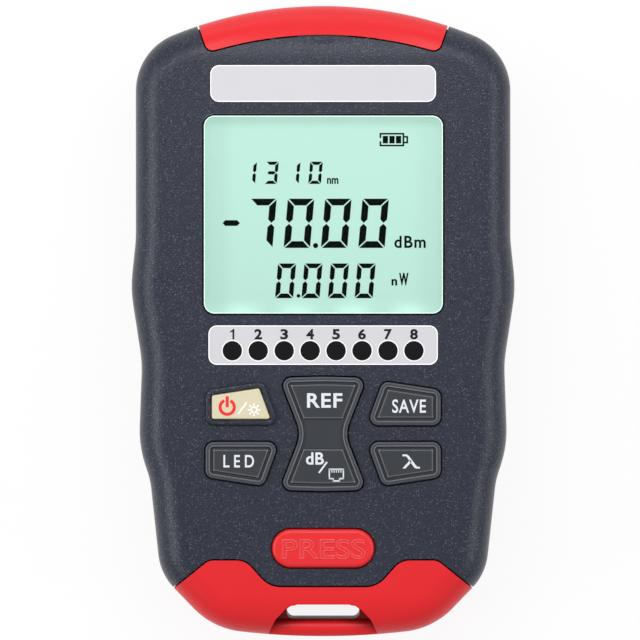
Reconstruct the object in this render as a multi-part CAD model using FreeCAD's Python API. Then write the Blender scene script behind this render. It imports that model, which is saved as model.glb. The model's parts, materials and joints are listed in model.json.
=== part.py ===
import FreeCAD, Part
import math
import os
from FreeCAD import Vector

# Handheld optical power meter with a pull-out network test remote as its tail.
# It lies on its back: +X right, +Y to the port end, +Z out of the display; Z 0 is the back.
# Millimetres. Two-part housing, hinged dust cover, rubber-mat keypad, three AAA cells,
# a sprung release button, and a tail that slides out of a dock.

# ---- housing ---------------------------------------------------------------------------
LENGTH = 121.9
WIDTH = 74.0
DEPTH = 31.0
WALL = 2.0
PART_Z = 14.0                  # height of the parting plane between the two shells
FRONT_ROUND = 5.8              # edge rounding round the front face
BACK_ROUND = 5.0
TOP_R = 76.6                   # plan radius of the port end
TOP_CORNER_R = 11.6
UPPER_INSET = 0.8              # upper sides stand this far inside the widest point
BOTTOM_R = 138.0               # plan radius of the tail end
BEVEL_DEG = 46.0               # plan angle of the tail corners
BOTTOM_CORNER_R = 15.0
# side outline of the hand grip: distance inside WIDTH / 2, place along Y, corner radius
GRIP_UPPER = [(0.8, -45.25, 24.0), (-0.2, -54.65, 24.0)]                     # Y from the port end
GRIP_LOWER = [(2.0, 52.95, 24.0), (1.4, 36.85, 21.0), (3.6, 30.15, 15.0),
              (5.55, 12.05, 11.0)]                                           # Y from the tail end
TOP_SLOPE = 10.95              # the front face falls away over this length at the port end
TOP_SLOPE_R = 14.0
BOTTOM_SLOPE = 7.95
BOTTOM_SLOPE_R = 10.0
PART_GROOVE = 0.35             # shadow groove along the parting plane

# ---- clearances ------------------------------------------------------------------------
GAP = 0.3                      # visible gap round keys, window, seam
FIT = 0.2                      # loose fit of inner parts
REST = 0.1                     # float of sprung parts below their stop
RUNNING = 0.05                 # radial clearance of a pin in its bore

# ---- display ---------------------------------------------------------------------------
WINDOW_W = 46.2
WINDOW_H = 38.4
WINDOW_R = 2.0
WINDOW_FROM_TOP = 40.35        # centre of the window from the port end
LENS_FLANGE = 1.9
LENS_FLANGE_T = 1.0
LENS_SET_BACK = 0.2
LCD_T = 2.2
LCD_MARGIN = 0.9
BACKLIGHT_T = 2.8
FRAME_WALL = 1.0
FRAME_LEDGE = 1.0

# ---- name plate and indicator plate ----------------------------------------------------
PLATE_T = 0.8
NAME_W = 43.5
NAME_H = 7.1
NAME_R = 1.75
NAME_FROM_TOP = 15.2
STRIP_W = 44.2
STRIP_H = 7.6
STRIP_R = 1.65
STRIP_FROM_TOP = 65.6
LAMP_COUNT = 8
LAMP_PITCH = 5.0
LAMP_R = 1.83
LAMP_DROP = 1.08               # row of lamps below the strip's centre line
LAMP_PIPE_R = 1.3
LAMP_DIE = 1.6                 # indicator diode, square
LAMP_DIE_T = 1.1

# ---- keys ------------------------------------------------------------------------------
KEY_COLUMN = 22.65             # outer edge of the key columns from the centre line
KEY_TOP_FROM_END = 49.35       # inner top corner of the upper keys from the tail end
KEY_ROW_TILT = 1.7             # outer corners sit this much lower (upper keys) or higher
KEY_INNER_NEAR = 11.5          # inner corners: X of the corner far from the row gap
KEY_INNER_FAR = 8.4            # and X of the corner beside the row gap
KEY_HEIGHT = 8.5
KEY_ROW_GAP = 3.2
KEY_CORNER_R = 1.6
KEY_RIM = 0.85
KEY_GROOVE = 0.6
KEY_GROOVE_DEPTH = 0.5
KEY_PAD_DROP = 0.1             # the pad lies this much below the rim
KEY_PAD_BEVEL = 0.15
KEY_PROUD = 0.8
KEY_EDGE_R = 0.3
KEY_FLANGE = 0.8
KEY_FLANGE_T = 1.5
KEY_TRAVEL = 1.0
POWER_FRAME = 1.2              # width of the raised frame round the power key
POWER_FRAME_PROUD = 0.7
ROCKER_HALF = 8.4
ROCKER_WAIST = 4.65
ROCKER_LENGTH = 21.6
ROCKER_BOW = 0.25              # its ends bulge by this much in the middle
ROCKER_FROM_END = 39.2         # centre of the rocker from the tail end
ROCKER_FLANK_DEG = 21.3
ROCKER_WAIST_R = 6.0
ROCKER_PAD_GAP = 2.95          # bare middle of the rocker, from its centre to a pad
TRUNNION_R = 0.8
TRUNNION_LENGTH = 1.7
TRUNNION_LIFT = 0.2            # solid left below the trunnions
ROCKER_DROP = 0.4              # the rocker's foot hangs this much below the other keys
LUG_T = 1.3

# ---- release button --------------------------------------------------------------------
BUTTON_W = 19.7
BUTTON_H = 7.4
BUTTON_FROM_END = 17.15
BUTTON_PROUD = 0.7
BUTTON_TRAVEL = 1.5
BUTTON_FLANGE = 0.9
BUTTON_FLANGE_T = 1.4
BUTTON_SPRING_X = 6.6
SPRING_R = 1.5
SPRING_WIRE = 0.4
SPRING_TURNS = 3.5
CATCH_W = 5.8
CATCH_T = 2.0
CATCH_REACH = 1.3              # depth of the catch inside the tongue's slot

# ---- tail and dock ---------------------------------------------------------------------
SEAM_CENTRE = 9.8             # seam height above the tail end, middle
SEAM_LOBE = 14.95              # and on the two lobes
SEAM_STEP_X0 = 10.33
SEAM_STEP_X1 = 14.91
SEAM_LOBE_X = 22.07
SEAM_FALL_DEG = 38.8
SEAM_R0 = 5.0
SEAM_R1 = 4.1
SEAM_R2 = 2.75
TONGUE_W = 20.4
TONGUE_H = 17.0
TONGUE_Z = 5.4
TONGUE_LENGTH = 15.7           # from the middle of the seam
TONGUE_WALL = 1.5
DOCK_FIT = 0.4
DOCK_DEPTH = 0.5               # free space past the tongue's end
DOCK_WALL = 1.5
SLOT_W = 14.1                  # lanyard slot
SLOT_H = 2.7
SLOT_FROM_END = 4.75
STRAP_DEPTH = 4.6              # the round strap bar is set back from the front and the back
TAIL_SCREW_X = 18.0
TAIL_SCREW_FROM_END = 9.0

# ---- circuit board ---------------------------------------------------------------------
BOARD_T = 1.6
BOARD_HALF = 25.4
BOARD_TOP_FROM_END = 13.0
BOARD_DROP = 9.8               # board's front face below the housing's front face
POST_R = 2.0
POST_X = 23.2
POST_FROM_TOP = (15.3, 67.4)
BOARD_SCREW_R = 1.0
BOARD_SCREW_HEAD_R = 1.8
BOARD_SCREW_HEAD_T = 1.2
BOARD_SCREW_LENGTH = 5.0
MAT_T = 1.0
MAT_HALF = 23.8
PEDESTAL_R0 = 3.6
PEDESTAL_R1 = 2.3

# ---- port end --------------------------------------------------------------------------
END_PLATE_T = 1.6
END_PLATE_FROM_END = 9.7       # outer face of the end plate from the port end
END_PLATE_HALF = 20.6
JACK_W = 16.0
JACK_H = 11.6
JACK_D = 15.2
JACK_WALL = 1.1
JACK_X = -10.4
JACK_MOUTH_W = 11.9
JACK_MOUTH_H = 6.9
JACK_KEY_W = 6.3
JACK_KEY_H = 1.6
JACK_LATCH_W = 3.4
JACK_LATCH_H = 1.2
JACK_DEPTH = 12.0
CONTACT_COUNT = 8
CONTACT_PITCH = 1.02
CONTACT_W = 0.45
TORCH_X = 2.4
TORCH_R = 2.5
TORCH_BEZEL_R = 3.3
PORT_X = 12.6
PORT_Z = 14.6
PORT_THREAD_R = 4.0
PORT_REACH = 6.0
PORT_RING_WALL = 0.9
PORT_CORE_R = 2.1
PORT_BORE_R = 1.25
PORT_KEY_W = 2.2
PORT_FLANGE_R = 5.6
PORT_NUT_ACROSS = 10.0
PORT_NUT_T = 1.8
DETECTOR_R = 4.0
DETECTOR_T = 4.2

# ---- dust cover ------------------------------------------------------------------------
COVER_T = 1.6
COVER_APEX_FROM_END = 5.75
COVER_EDGE_R = 74.0
COVER_INNER_X = 22.25
COVER_CORNER_R = 1.5
COVER_OUTER_X = 23.8
COVER_SLANT_Y = 4.4            # rise of the slanted side edges
COVER_FOOT = 5.6               # lowest edge of the cover
HINGE_FROM_END = 2.55
HINGE_Z = 3.4
BARREL_R = 1.9
HINGE_PIN_R = 0.75
KNUCKLE_INNER = 4.8
KNUCKLE_OUTER = 9.4
HINGE_RELIEF_X = 15.5          # half length of the rounded sill that the cover's foot swings past
NOTCH_BALL_R = 23.6            # thumb hollow below the cover, cut by a ball
NOTCH_PAST_END = 1.6          # the ball's centre beyond the port end
NOTCH_HEIGHT = 21.3            # and above the front face

# ---- battery compartment ---------------------------------------------------------------
CELL_R = 5.2
CELL_LENGTH = 44.5
CELL_BUTTON_R = 1.9
CELL_BUTTON_H = 0.8
CELL_PITCH = 10.9
CELL_COUNT = 3
CELL_END_ROOM = 2.6            # room for a contact at each end of a cell
BAY_FROM_TAIL = 33.9           # lower end of the cell bay from the tail end
BAY_WALL = 1.4
BAY_ROOF = 1.1
CONTACT_T = 0.4
DOOR_T = 1.8
DOOR_SET_BACK = 0.2
DOOR_TAB_W = 6.0
DOOR_TAB_REACH = 1.8
DOOR_TAB_T = 0.8
DOOR_RIB_COUNT = 5
DOOR_RIB_PITCH = 1.6

# ---- case screws -----------------------------------------------------------------------
SCREW_R = 1.25
SCREW_HEAD_R = 2.3
SCREW_HEAD_T = 1.7
SCREW_LENGTH = 13.0
SCREW_WELL = 7.5               # depth of the wells in the back
SCREW_BOSS_R = 3.6
SCREW_SIDE = 8.2               # screw axes inside the widest point
SCREW_FROM_TOP = 11.6
SCREW_FROM_TAIL = 21.6
SCREW_SIDE_TAIL = 10.4

# ---- worked-out places -----------------------------------------------------------------
Y_TOP = LENGTH / 2
Y_END = -LENGTH / 2
INNER_FRONT = DEPTH - WALL
BOARD_FRONT = DEPTH - BOARD_DROP
BOARD_BACK = BOARD_FRONT - BOARD_T
LENS_BACK = INNER_FRONT - LENS_FLANGE_T
LCD_FRONT = LENS_BACK - FIT
LCD_BACK = LCD_FRONT - LCD_T
KEY_FLANGE_TOP = INNER_FRONT - REST
KEY_FOOT = KEY_FLANGE_TOP - KEY_FLANGE_T
ROCKER_FOOT = KEY_FOOT - ROCKER_DROP
WINDOW_Y = Y_TOP - WINDOW_FROM_TOP
NAME_Y = Y_TOP - NAME_FROM_TOP
STRIP_Y = Y_TOP - STRIP_FROM_TOP
LAMP_Y = STRIP_Y - LAMP_DROP
LAMP_XS = [(i - (LAMP_COUNT - 1) / 2) * LAMP_PITCH for i in range(LAMP_COUNT)]
UPPER_KEY_Y = Y_END + KEY_TOP_FROM_END
LOWER_KEY_Y = UPPER_KEY_Y - KEY_HEIGHT - KEY_ROW_GAP
ROCKER_Y = Y_END + ROCKER_FROM_END
BUTTON_Y = Y_END + BUTTON_FROM_END
SEAM_Y = Y_END + SEAM_CENTRE
TONGUE_END = SEAM_Y + TONGUE_LENGTH
TONGUE_TOP = TONGUE_Z + TONGUE_H
DOCK_END = TONGUE_END + DOCK_DEPTH + DOCK_WALL
DOCK_ROOF = TONGUE_TOP + DOCK_FIT + DOCK_WALL
SLOT_Y = Y_END + SLOT_FROM_END
END_PLATE_Y = Y_TOP - END_PLATE_FROM_END
END_PLATE_BACK = END_PLATE_Y - END_PLATE_T
HINGE_Y = Y_TOP - HINGE_FROM_END
CELL_Z = DOOR_SET_BACK + DOOR_T + GAP + CELL_R
BAY_HALF = (CELL_COUNT - 1) / 2 * CELL_PITCH + CELL_R + GAP
BAY_Y0 = Y_END + BAY_FROM_TAIL
BAY_Y1 = BAY_Y0 + CELL_LENGTH + 2 * CELL_END_ROOM
BAY_TOP = CELL_Z + CELL_R + FIT
DOOR_HALF = BAY_HALF
DOOR_Y1 = BAY_Y1 - DOOR_TAB_REACH
CASE_SCREWS = [(s * x, y) for s in (-1, 1)
               for x, y in ((WIDTH / 2 - SCREW_SIDE, Y_TOP - SCREW_FROM_TOP),
                            (WIDTH / 2 - SCREW_SIDE_TAIL, Y_END + SCREW_FROM_TAIL))]
POSTS = [(s * POST_X, Y_TOP - d) for s in (-1, 1) for d in POST_FROM_TOP]
TAIL_SCREWS = [(s * TAIL_SCREW_X, Y_END + TAIL_SCREW_FROM_END) for s in (-1, 1)]
FAR = 200.0                    # past everything


# ---- drawing helpers -------------------------------------------------------------------
def box(x0, x1, y0, y1, z0, z1):
    """Block between two corners."""
    return Part.makeBox(x1 - x0, y1 - y0, z1 - z0, Vector(x0, y0, z0))


def rod(radius, start, direction, length):
    """Cylinder from a start point along a direction."""
    return Part.makeCylinder(radius, length, Vector(*start), Vector(*direction))


def fuse(shapes):
    """One solid from touching or overlapping shapes."""
    return shapes[0].multiFuse(shapes[1:]).removeSplitter() if len(shapes) > 1 else shapes[0]


def arc_edge(centre, radius, start, end):
    """Arc in the XY plane between two angles in radians, and its end points."""
    points = [Vector(centre[0] + radius * math.cos(a), centre[1] + radius * math.sin(a), 0)
              for a in (start, (start + end) / 2, end)]
    return Part.Arc(*points).toShape(), points[0], points[2]


def corner(point, before, after, radius):
    """Fillet arc of a polygon corner: its start, middle and end points."""
    to_before = (Vector(*before[:2], 0) - Vector(*point[:2], 0)).normalize()
    to_after = (Vector(*after[:2], 0) - Vector(*point[:2], 0)).normalize()
    half = to_before.getAngle(to_after) / 2
    run = radius / math.tan(half)
    inward = (to_before + to_after).normalize()
    apex = Vector(*point[:2], 0)
    middle = apex + inward * (radius / math.sin(half) - radius)
    return apex + to_before * run, middle, apex + to_after * run


def round_path(points):
    """Edges of an open path whose inner corners (x, y, radius) are rounded."""
    edges = []
    last = Vector(*points[0][:2], 0)
    for i in range(1, len(points) - 1):
        start, middle, end = corner(points[i], points[i - 1], points[i + 1], points[i][2])
        edges += [Part.LineSegment(last, start).toShape(), Part.Arc(start, middle, end).toShape()]
        last = end
    edges.append(Part.LineSegment(last, Vector(*points[-1][:2], 0)).toShape())
    return edges


def round_polygon(points):
    """Closed wire of a polygon with rounded corners (x, y, radius)."""
    n = len(points)
    corners = [corner(points[i], points[i - 1], points[(i + 1) % n], points[i][2]) for i in range(n)]
    edges = []
    for i in range(n):
        edges.append(Part.Arc(*corners[i]).toShape())
        edges.append(Part.LineSegment(corners[i][2], corners[(i + 1) % n][0]).toShape())
    return Part.Wire(edges)


def rectangle(width, height, centre, radius):
    """Closed wire of a rounded rectangle."""
    x, y = width / 2, height / 2
    return round_polygon([(centre[0] + sx * x, centre[1] + sy * y, radius)
                          for sx, sy in ((-1, -1), (1, -1), (1, 1), (-1, 1))])


def prism(wire, z0, z1):
    """Solid between two heights over a plan wire."""
    solid = Part.Face(wire).extrude(Vector(0, 0, z1 - z0))
    solid.translate(Vector(0, 0, z0))
    return solid


def grown(wire, distance):
    """Plan wire moved outward, or inward where the distance is negative."""
    return wire.makeOffset2D(distance) if distance else wire


def mirrored(shape):
    """The shape on the other side of the centre line."""
    return shape.mirror(Vector(0, 0, 0), Vector(1, 0, 0))


def edges_at(solid, z):
    """Edges that lie in one horizontal plane."""
    return [e for e in solid.Edges
            if abs(e.BoundBox.ZMin - z) < 1e-4 and abs(e.BoundBox.ZMax - z) < 1e-4]


def spring(radius, wire, turns, base, height):
    """Coil spring of square wire that stands on a base point."""
    pitch = (height - wire) / turns
    path = Part.makeHelix(pitch, height - wire, radius)
    start = Vector(radius, 0, 0)
    half = wire / 2
    section = Part.makePolygon([start + Vector(sx * half, 0, sz * half)
                                for sx, sz in ((-1, -1), (1, -1), (1, 1), (-1, 1), (-1, -1))])
    coil = Part.Wire(path.Edges).makePipeShell([section], True, True)
    coil.translate(Vector(*base) + Vector(0, 0, wire / 2))
    return coil


# ---- housing form ----------------------------------------------------------------------
def outline():
    """Plan outline: arched port end, waisted grip, bevelled tail corners, arched tail."""
    half = WIDTH / 2 - UPPER_INSET
    top_centre = (0, Y_TOP - TOP_R)
    corner_x = half - TOP_CORNER_R
    corner_y = top_centre[1] + math.sqrt((TOP_R - TOP_CORNER_R) ** 2 - corner_x ** 2)
    turn = math.atan2(corner_y - top_centre[1], corner_x)
    top, _, _ = arc_edge(top_centre, TOP_R, math.pi - turn, turn)
    right = [arc_edge((corner_x, corner_y), TOP_CORNER_R, turn, 0)[0]]
    side = [(half, corner_y, 0)]
    side += [(WIDTH / 2 - inside, Y_TOP + y, r) for inside, y, r in GRIP_UPPER]
    side += [(WIDTH / 2 - inside, Y_END + y, r) for inside, y, r in GRIP_LOWER]
    bevel = math.radians(BEVEL_DEG)
    along = Vector(-math.cos(bevel), -math.sin(bevel), 0)
    inward = Vector(-math.sin(bevel), math.cos(bevel), 0)
    end_centre = Vector(0, Y_END + BOTTOM_R, 0)
    start = Vector(side[-1][0], side[-1][1], 0) + inward * BOTTOM_CORNER_R - end_centre
    b = start.dot(along)
    c = start.dot(start) - (BOTTOM_R - BOTTOM_CORNER_R) ** 2
    run = -b + math.sqrt(b * b - c)
    centre = start + along * run + end_centre
    foot = centre - inward * BOTTOM_CORNER_R
    side.append((foot.x, foot.y, 0))
    right += round_path(side)
    end_turn = math.atan2(centre.y - end_centre.y, centre.x)
    right.append(arc_edge((centre.x, centre.y), BOTTOM_CORNER_R,
                          bevel - math.pi / 2, end_turn)[0])
    tail, _, _ = arc_edge((0, end_centre.y), BOTTOM_R, end_turn, -math.pi - end_turn)
    edges = [top] + right + [tail] + [mirrored(e) for e in right]
    return Part.Wire(Part.__sortEdges__(edges))


def side_profile(inset):
    """Slab across the whole width whose side view falls away at both ends of the front."""
    front = DEPTH - inset
    lean = math.radians(60)

    def fall(flat, radius, way):
        """Arc and tangent line from the flat front down one end."""
        points = [Vector(0, flat + way * radius * math.sin(a), front - radius * (1 - math.cos(a)))
                  for a in (0, lean / 2, lean)]
        tip = points[2] + Vector(0, way * math.cos(lean), -math.sin(lean)) * 3
        return [Part.Arc(*points).toShape(), Part.LineSegment(points[2], tip).toShape()], tip

    top_flat = Y_TOP - TOP_SLOPE
    tail_flat = Y_END + BOTTOM_SLOPE
    top, top_tip = fall(top_flat, TOP_SLOPE_R - inset, 1)
    tail, tail_tip = fall(tail_flat, BOTTOM_SLOPE_R - inset, -1)
    top_foot = Vector(0, top_tip.y + 1, inset)
    tail_foot = Vector(0, tail_tip.y - 1, inset)
    edges = top + tail
    edges.append(Part.LineSegment(Vector(0, tail_flat, front), Vector(0, top_flat, front)).toShape())
    edges.append(Part.LineSegment(top_tip, top_foot).toShape())
    edges.append(Part.LineSegment(top_foot, tail_foot).toShape())
    edges.append(Part.LineSegment(tail_foot, tail_tip).toShape())
    slab = Part.Face(Part.Wire(Part.__sortEdges__(edges))).extrude(Vector(2 * FAR, 0, 0))
    slab.translate(Vector(-FAR, 0, 0))
    return slab


def rim(solid, front):
    """Edges between the upright side faces and the front, or the back."""
    found = []
    for edge in solid.Edges:
        z = edge.CenterOfMass.z
        if (z > DEPTH / 2) != front or abs(z - DEPTH / 2) < DEPTH / 8:
            continue
        tilts = []
        for face in solid.ancestorsOfType(edge, Part.Face):
            middle = edge.valueAt((edge.FirstParameter + edge.LastParameter) / 2)
            tilts.append(abs(face.normalAt(*face.Surface.parameter(middle)).z))
        if len(tilts) == 2 and min(tilts) < 1e-3 and max(tilts) > 0.2:
            found.append(edge)
    return found


PLAN = outline()


def body(inset):
    """The whole housing's form, moved inward by an even inset."""
    solid = prism(grown(PLAN, -inset), 0, DEPTH).common(side_profile(inset)).Solids[0]
    solid = solid.makeFillet(FRONT_ROUND - inset, rim(solid, True))
    return solid.makeFillet(BACK_ROUND - inset, rim(solid, False))


OUTER = body(0)
INNER = body(WALL)
COVER_INNER = body(COVER_T)


# ---- plan shapes -----------------------------------------------------------------------
def tail_plan():
    """Everything on the tail side of the seam."""
    slope = math.tan(math.radians(SEAM_FALL_DEG))
    lobe_y = Y_END + SEAM_LOBE
    out_x = WIDTH
    out_y = lobe_y - (out_x - SEAM_LOBE_X) * slope
    half = [(SEAM_STEP_X0, SEAM_Y, SEAM_R0), (SEAM_STEP_X1, lobe_y, SEAM_R1),
            (SEAM_LOBE_X, lobe_y, SEAM_R2), (out_x, out_y, 1), (out_x, out_y - WIDTH, 1)]
    return round_polygon(half + [(-x, y, r) for x, y, r in reversed(half)])


def cover_plan():
    """The dust cover: an arched lower edge between slanted sides, open to the port end."""
    apex = Y_TOP - COVER_APEX_FROM_END
    arch = math.asin((COVER_INNER_X - 2 * COVER_CORNER_R) / COVER_EDGE_R)
    peak = apex - COVER_EDGE_R + COVER_EDGE_R / math.cos(arch)
    low = peak - COVER_INNER_X * math.tan(arch)
    reach = 3.0 * COVER_SLANT_Y
    out = COVER_INNER_X + (COVER_OUTER_X - COVER_INNER_X) * 3.0
    return round_polygon([(-COVER_INNER_X, low, COVER_CORNER_R), (0, peak, COVER_EDGE_R),
                          (COVER_INNER_X, low, COVER_CORNER_R), (out, low + reach, 1.0),
                          (-out, low + reach, 1.0)])


def cover_throat(margin):
    """The cover's plan carried inward past its lower edge, for the hollow behind it."""
    lean = (COVER_OUTER_X - COVER_INNER_X) / COVER_SLANT_Y
    low = END_PLATE_Y
    drop = COVER_EDGE_R - math.sqrt(COVER_EDGE_R ** 2 - COVER_INNER_X ** 2)
    inner = COVER_INNER_X + margin + lean * (low - (Y_TOP - COVER_APEX_FROM_END - drop))
    out = inner + lean * 20
    return Part.makePolygon([Vector(-inner, low, 0), Vector(inner, low, 0),
                             Vector(out, low + 20, 0), Vector(-out, low + 20, 0),
                             Vector(-inner, low, 0)])


def key_plan(side, upper):
    """Four-sided key beside the rocker; side is -1 or 1, upper or lower row."""
    top = UPPER_KEY_Y if upper else LOWER_KEY_Y
    tilt = KEY_ROW_TILT
    low = top - KEY_HEIGHT
    if upper:
        points = [(KEY_COLUMN, top - tilt), (KEY_INNER_NEAR, top),
                  (KEY_INNER_FAR, low), (KEY_COLUMN, low)]
    else:
        points = [(KEY_COLUMN, top), (KEY_INNER_FAR, top),
                  (KEY_INNER_NEAR, low), (KEY_COLUMN, low + tilt)]
    return round_polygon([(side * x, y, KEY_CORNER_R) for x, y in points])


def rocker_plan():
    """Hourglass of the rocker key."""
    end = ROCKER_LENGTH / 2
    lean = math.tan(math.radians(ROCKER_FLANK_DEG))
    pull = ROCKER_WAIST_R / math.cos(math.radians(ROCKER_FLANK_DEG)) - ROCKER_WAIST_R
    waist = max(ROCKER_HALF - end * lean, ROCKER_WAIST - pull)
    bow_r = (ROCKER_HALF ** 2 + ROCKER_BOW ** 2) / (4 * ROCKER_BOW)
    points = []
    for sx, sy in ((1, 1), (0, 1), (-1, 1), (-1, 0), (-1, -1), (0, -1), (1, -1), (1, 0)):
        if sx == 0:
            points.append((0, ROCKER_Y + sy * (end + ROCKER_BOW), bow_r))
        elif sy:
            points.append((sx * ROCKER_HALF, ROCKER_Y + sy * end, KEY_CORNER_R))
        else:
            points.append((sx * waist, ROCKER_Y, ROCKER_WAIST_R))
    return round_polygon(points)


TAIL = tail_plan()
COVER = cover_plan()
POWER = grown(key_plan(-1, True), -POWER_FRAME)
SAVE = key_plan(1, True)
LAMP_KEY = key_plan(-1, False)
WAVELENGTH = key_plan(1, False)
ROCKER = rocker_plan()
BUTTON = rectangle(BUTTON_W, BUTTON_H, (0, BUTTON_Y), BUTTON_H / 2 - 0.01)


def slab(z0, z1):
    """Everything between two heights."""
    return box(-FAR, FAR, -FAR, FAR, z0, z1)


# ---- shells ----------------------------------------------------------------------------
def dock_block():
    """Walled tunnel in the housing that the tail's tongue slides into."""
    half = TONGUE_W / 2 + DOCK_FIT + DOCK_WALL
    return box(-half, half, SEAM_Y - 4, DOCK_END, TONGUE_Z - DOCK_FIT - DOCK_WALL, DOCK_ROOF)


def dock_hollow():
    """The tunnel's free space."""
    half = TONGUE_W / 2 + DOCK_FIT
    return box(-half, half, SEAM_Y - 20, TONGUE_END + DOCK_DEPTH,
               TONGUE_Z - DOCK_FIT, TONGUE_TOP + DOCK_FIT)


def housing():
    """Both shells as one hollow body, before they are split at the parting plane."""
    walled = OUTER.cut(prism(grown(TAIL, GAP / 2), -1, DEPTH + 1))
    cavity = INNER.cut(prism(grown(TAIL, GAP / 2 + WALL), -1, DEPTH + 1))
    side_room = box(-FAR, FAR, Y_END - 1, END_PLATE_BACK, -1, DEPTH + 1)
    end_room = box(-END_PLATE_HALF, END_PLATE_HALF, END_PLATE_BACK - 1, END_PLATE_Y, -1, DEPTH + 1)
    cavity = cavity.common(side_room.fuse(end_room))
    shell = walled.cut(cavity)
    shell = shell.fuse(dock_block().common(walled)).cut(dock_hollow())
    pocket = body(WALL + 0.8).common(prism(cover_throat(-0.6), -1, DEPTH + 1))
    shell = shell.cut(pocket)
    mouth = prism(grown(COVER, GAP), COVER_FOOT - GAP, DEPTH + 1)
    shell = shell.cut(mouth)
    room = rod(COVER_FOOT - HINGE_Z + BARREL_R, (-KNUCKLE_OUTER - 1, HINGE_Y, HINGE_Z),
               (1, 0, 0), 2 * KNUCKLE_OUTER + 2)
    sill = rod(2 * BARREL_R, (-HINGE_RELIEF_X, HINGE_Y, HINGE_Z), (1, 0, 0), 2 * HINGE_RELIEF_X)
    sill = sill.cut(rod(BARREL_R + FIT, (-FAR, HINGE_Y, HINGE_Z), (1, 0, 0), 2 * FAR))
    sill = sill.common(box(-FAR, FAR, HINGE_Y, FAR, HINGE_Z, FAR))
    return shell.cut(room).cut(sill)


def notch():
    """Shallow thumb hollow in the front face under the cover's middle."""
    return Part.makeSphere(NOTCH_BALL_R, Vector(0, Y_TOP + NOTCH_PAST_END, DEPTH + NOTCH_HEIGHT))


def front_shell(hollow):
    """Front half: plates, window, keys, posts and bosses."""
    shell = hollow.common(slab(PART_Z, DEPTH + 1)).cut(notch())
    extras = [prism(grown(key_plan(-1, True), 0), INNER_FRONT, DEPTH + POWER_FRAME_PROUD)]
    extras[0] = extras[0].makeFillet(POWER_FRAME_PROUD * 0.6, edges_at(extras[0], DEPTH + POWER_FRAME_PROUD))
    for x, y in CASE_SCREWS:
        boss = rod(SCREW_BOSS_R, (x, y, PART_Z), (0, 0, 1), INNER_FRONT + 1 - PART_Z)
        extras.append(boss.common(OUTER).cut(prism(grown(TAIL, GAP / 2), 0, DEPTH)))
    for x, y in POSTS:
        extras.append(rod(POST_R, (x, y, BOARD_FRONT), (0, 0, 1), INNER_FRONT + 0.5 - BOARD_FRONT))
    lug_x = ROCKER_WAIST + GAP + FIT
    lug_z = ROCKER_FOOT - 0.4
    for s in (-1, 1):
        x0, x1 = sorted((s * lug_x, s * (lug_x + LUG_T)))
        extras.append(box(x0, x1, ROCKER_Y - 1.8, ROCKER_Y + 1.8, lug_z, INNER_FRONT + 0.5))
    shell = shell.multiFuse(extras)
    cuts = [prism(grown(rectangle(WINDOW_W, WINDOW_H, (0, WINDOW_Y), WINDOW_R), GAP / 2),
                  INNER_FRONT - 1, DEPTH + 1),
            prism(grown(rectangle(NAME_W, NAME_H, (0, NAME_Y), NAME_R), GAP / 2),
                  DEPTH - PLATE_T, DEPTH + 1),
            prism(grown(rectangle(STRIP_W, STRIP_H, (0, STRIP_Y), STRIP_R), GAP / 2),
                  DEPTH - PLATE_T, DEPTH + 1)]
    cuts += [prism(grown(w, GAP), INNER_FRONT - 1, DEPTH + 2)
             for w in (POWER, SAVE, LAMP_KEY, WAVELENGTH, ROCKER, BUTTON)]
    cuts += [rod(LAMP_R + 0.05, (x, LAMP_Y, INNER_FRONT - 1), (0, 0, 1), 4) for x in LAMP_XS]
    cuts += [rod(SCREW_R, (x, y, PART_Z - 1), (0, 0, 1), SCREW_LENGTH) for x, y in CASE_SCREWS]
    cuts += [rod(BOARD_SCREW_R, (x, y, BOARD_FRONT - 1), (0, 0, 1), BOARD_SCREW_LENGTH)
             for x, y in POSTS]
    cuts.append(rod(TRUNNION_R + RUNNING, (-FAR, ROCKER_Y, pivot_z()), (1, 0, 0), 2 * FAR)
                .common(box(-lug_x - 3, lug_x + 3, ROCKER_Y - 3, ROCKER_Y + 3, 0, DEPTH)))
    cuts.append(box(-CATCH_W / 2 - GAP, CATCH_W / 2 + GAP, BUTTON_Y - GAP, BUTTON_Y + CATCH_T + GAP,
                    DOCK_ROOF - 3, DOCK_ROOF + 1))
    return shell.cut(Part.makeCompound(cuts))


def pivot_z():
    """Height of the rocker's pivot."""
    return ROCKER_FOOT + TRUNNION_R + TRUNNION_LIFT


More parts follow.
